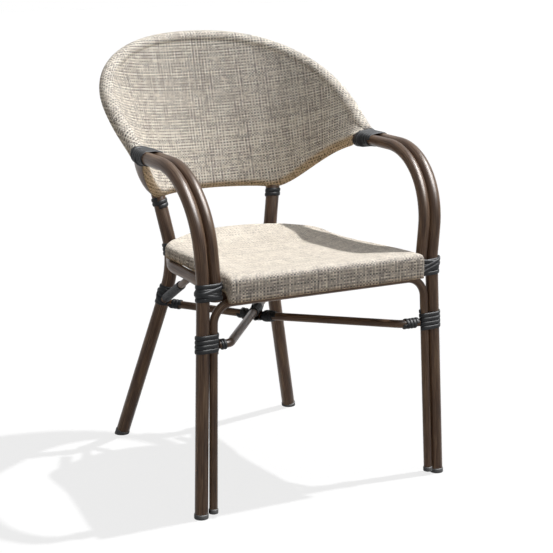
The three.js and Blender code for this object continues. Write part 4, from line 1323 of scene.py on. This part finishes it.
def add_floor():
    corners = [vec(x * FLOOR_REACH, y * FLOOR_REACH, 0) for x, y in ((-1, -1), (1, -1), (1, 1), (-1, 1))]
    floor = add_object("floor", corners, [(0, 1, 2, 3)])
    floor.data.materials.append(floor_material())


def add_lamp(name, energy, angle, travel):
    """A far round lamp. Its light travels along the given direction."""
    sun = bpy.data.lights.new(name, "SUN")
    sun.energy = energy
    sun.angle = radians(angle)
    lamp = bpy.data.objects.new(name, sun)
    lamp.rotation_euler = Vector(travel).to_track_quat("-Z", "Y").to_euler()
    bpy.context.scene.collection.objects.link(lamp)
    return lamp


def add_light():
    add_lamp("key", energy=3.15, angle=1.5, travel=(-0.5, 0.03, -0.866))
    add_lamp("fill", energy=0.2, angle=90, travel=(-0.3, 0.2, -0.93))
    gloss = add_lamp("gloss", energy=22, angle=46, travel=(-0.36, 0.42, -0.83))
    gloss.visible_diffuse = False
    n = Nodes(bpy.data.worlds.new("studio"), "Background")
    strength = n.add("ShaderNodeMapRange", {"Value": n.seen(), "To Min": WORLD_DIM, "To Max": 1.0})
    bpy.context.scene.world = n.set(Strength=strength.outputs[0], Color=WHITE)


# The camera, solved from the photo: its focal length and the photo's width are in pixels.

FOCAL_LENGTH = 1606
PHOTO_WIDTH = 553
SENSOR_WIDTH = 36
FAR_CLIP = 100
CAMERA_PLACE = (-1.469, -2.82522, 1.141)
CAMERA_AZIMUTH = radians(28.27)
CAMERA_PITCH = radians(13.56)


def add_camera():
    data = bpy.data.cameras.new("camera")
    data.lens = FOCAL_LENGTH / PHOTO_WIDTH * SENSOR_WIDTH
    data.sensor_width = SENSOR_WIDTH
    data.clip_end = FAR_CLIP
    camera = bpy.data.objects.new("camera", data)
    camera.location = CAMERA_PLACE
    level = cos(CAMERA_PITCH)
    look = (sin(CAMERA_AZIMUTH) * level, cos(CAMERA_AZIMUTH) * level, -sin(CAMERA_PITCH))
    camera.rotation_euler = Vector(look).to_track_quat("-Z", "Y").to_euler()
    bpy.context.scene.collection.objects.link(camera)
    bpy.context.scene.camera = camera


# The chair.

LUGS = [f"seat_lug_{name}_{number}" for name, _ in SIDES for number in (1, 2)]


def coat(piece, material):
    piece.data.materials.clear()
    piece.data.materials.append(material)


def dress(pieces, material):
    for piece in pieces:
        coat(piece, material)
        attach(piece, "root")


def add_standing_in(pieces):
    """Each piece stands for the node that it was named after, less the number added to its name."""
    for piece in pieces:
        node = piece.name.rsplit(".", 1)[0]
        piece.name = f"{node}_fine"
        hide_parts(node)


bpy.context.scene.view_settings.view_transform = "Standard"
add_camera()
add_light()
add_floor()

paint = paint_material()
tubes = add_tubes()
windings = add_windings()
caps = add_caps()
seat = add_seat()
tubes.append(add_seat_frame())
back, back_flat = add_back()
add_standing_in([*tubes, *windings, *caps])
dress(tubes, paint)
dress(windings, strip_material())
dress(caps, rubber_material())
dress([seat], weave_material("seat_weave", **SEAT_LIT_SHADED_TONES))
dress([back], weave_material("back_weave", **BACK_TONES))
for lug in LUGS:
    coat(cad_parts[lug], paint)
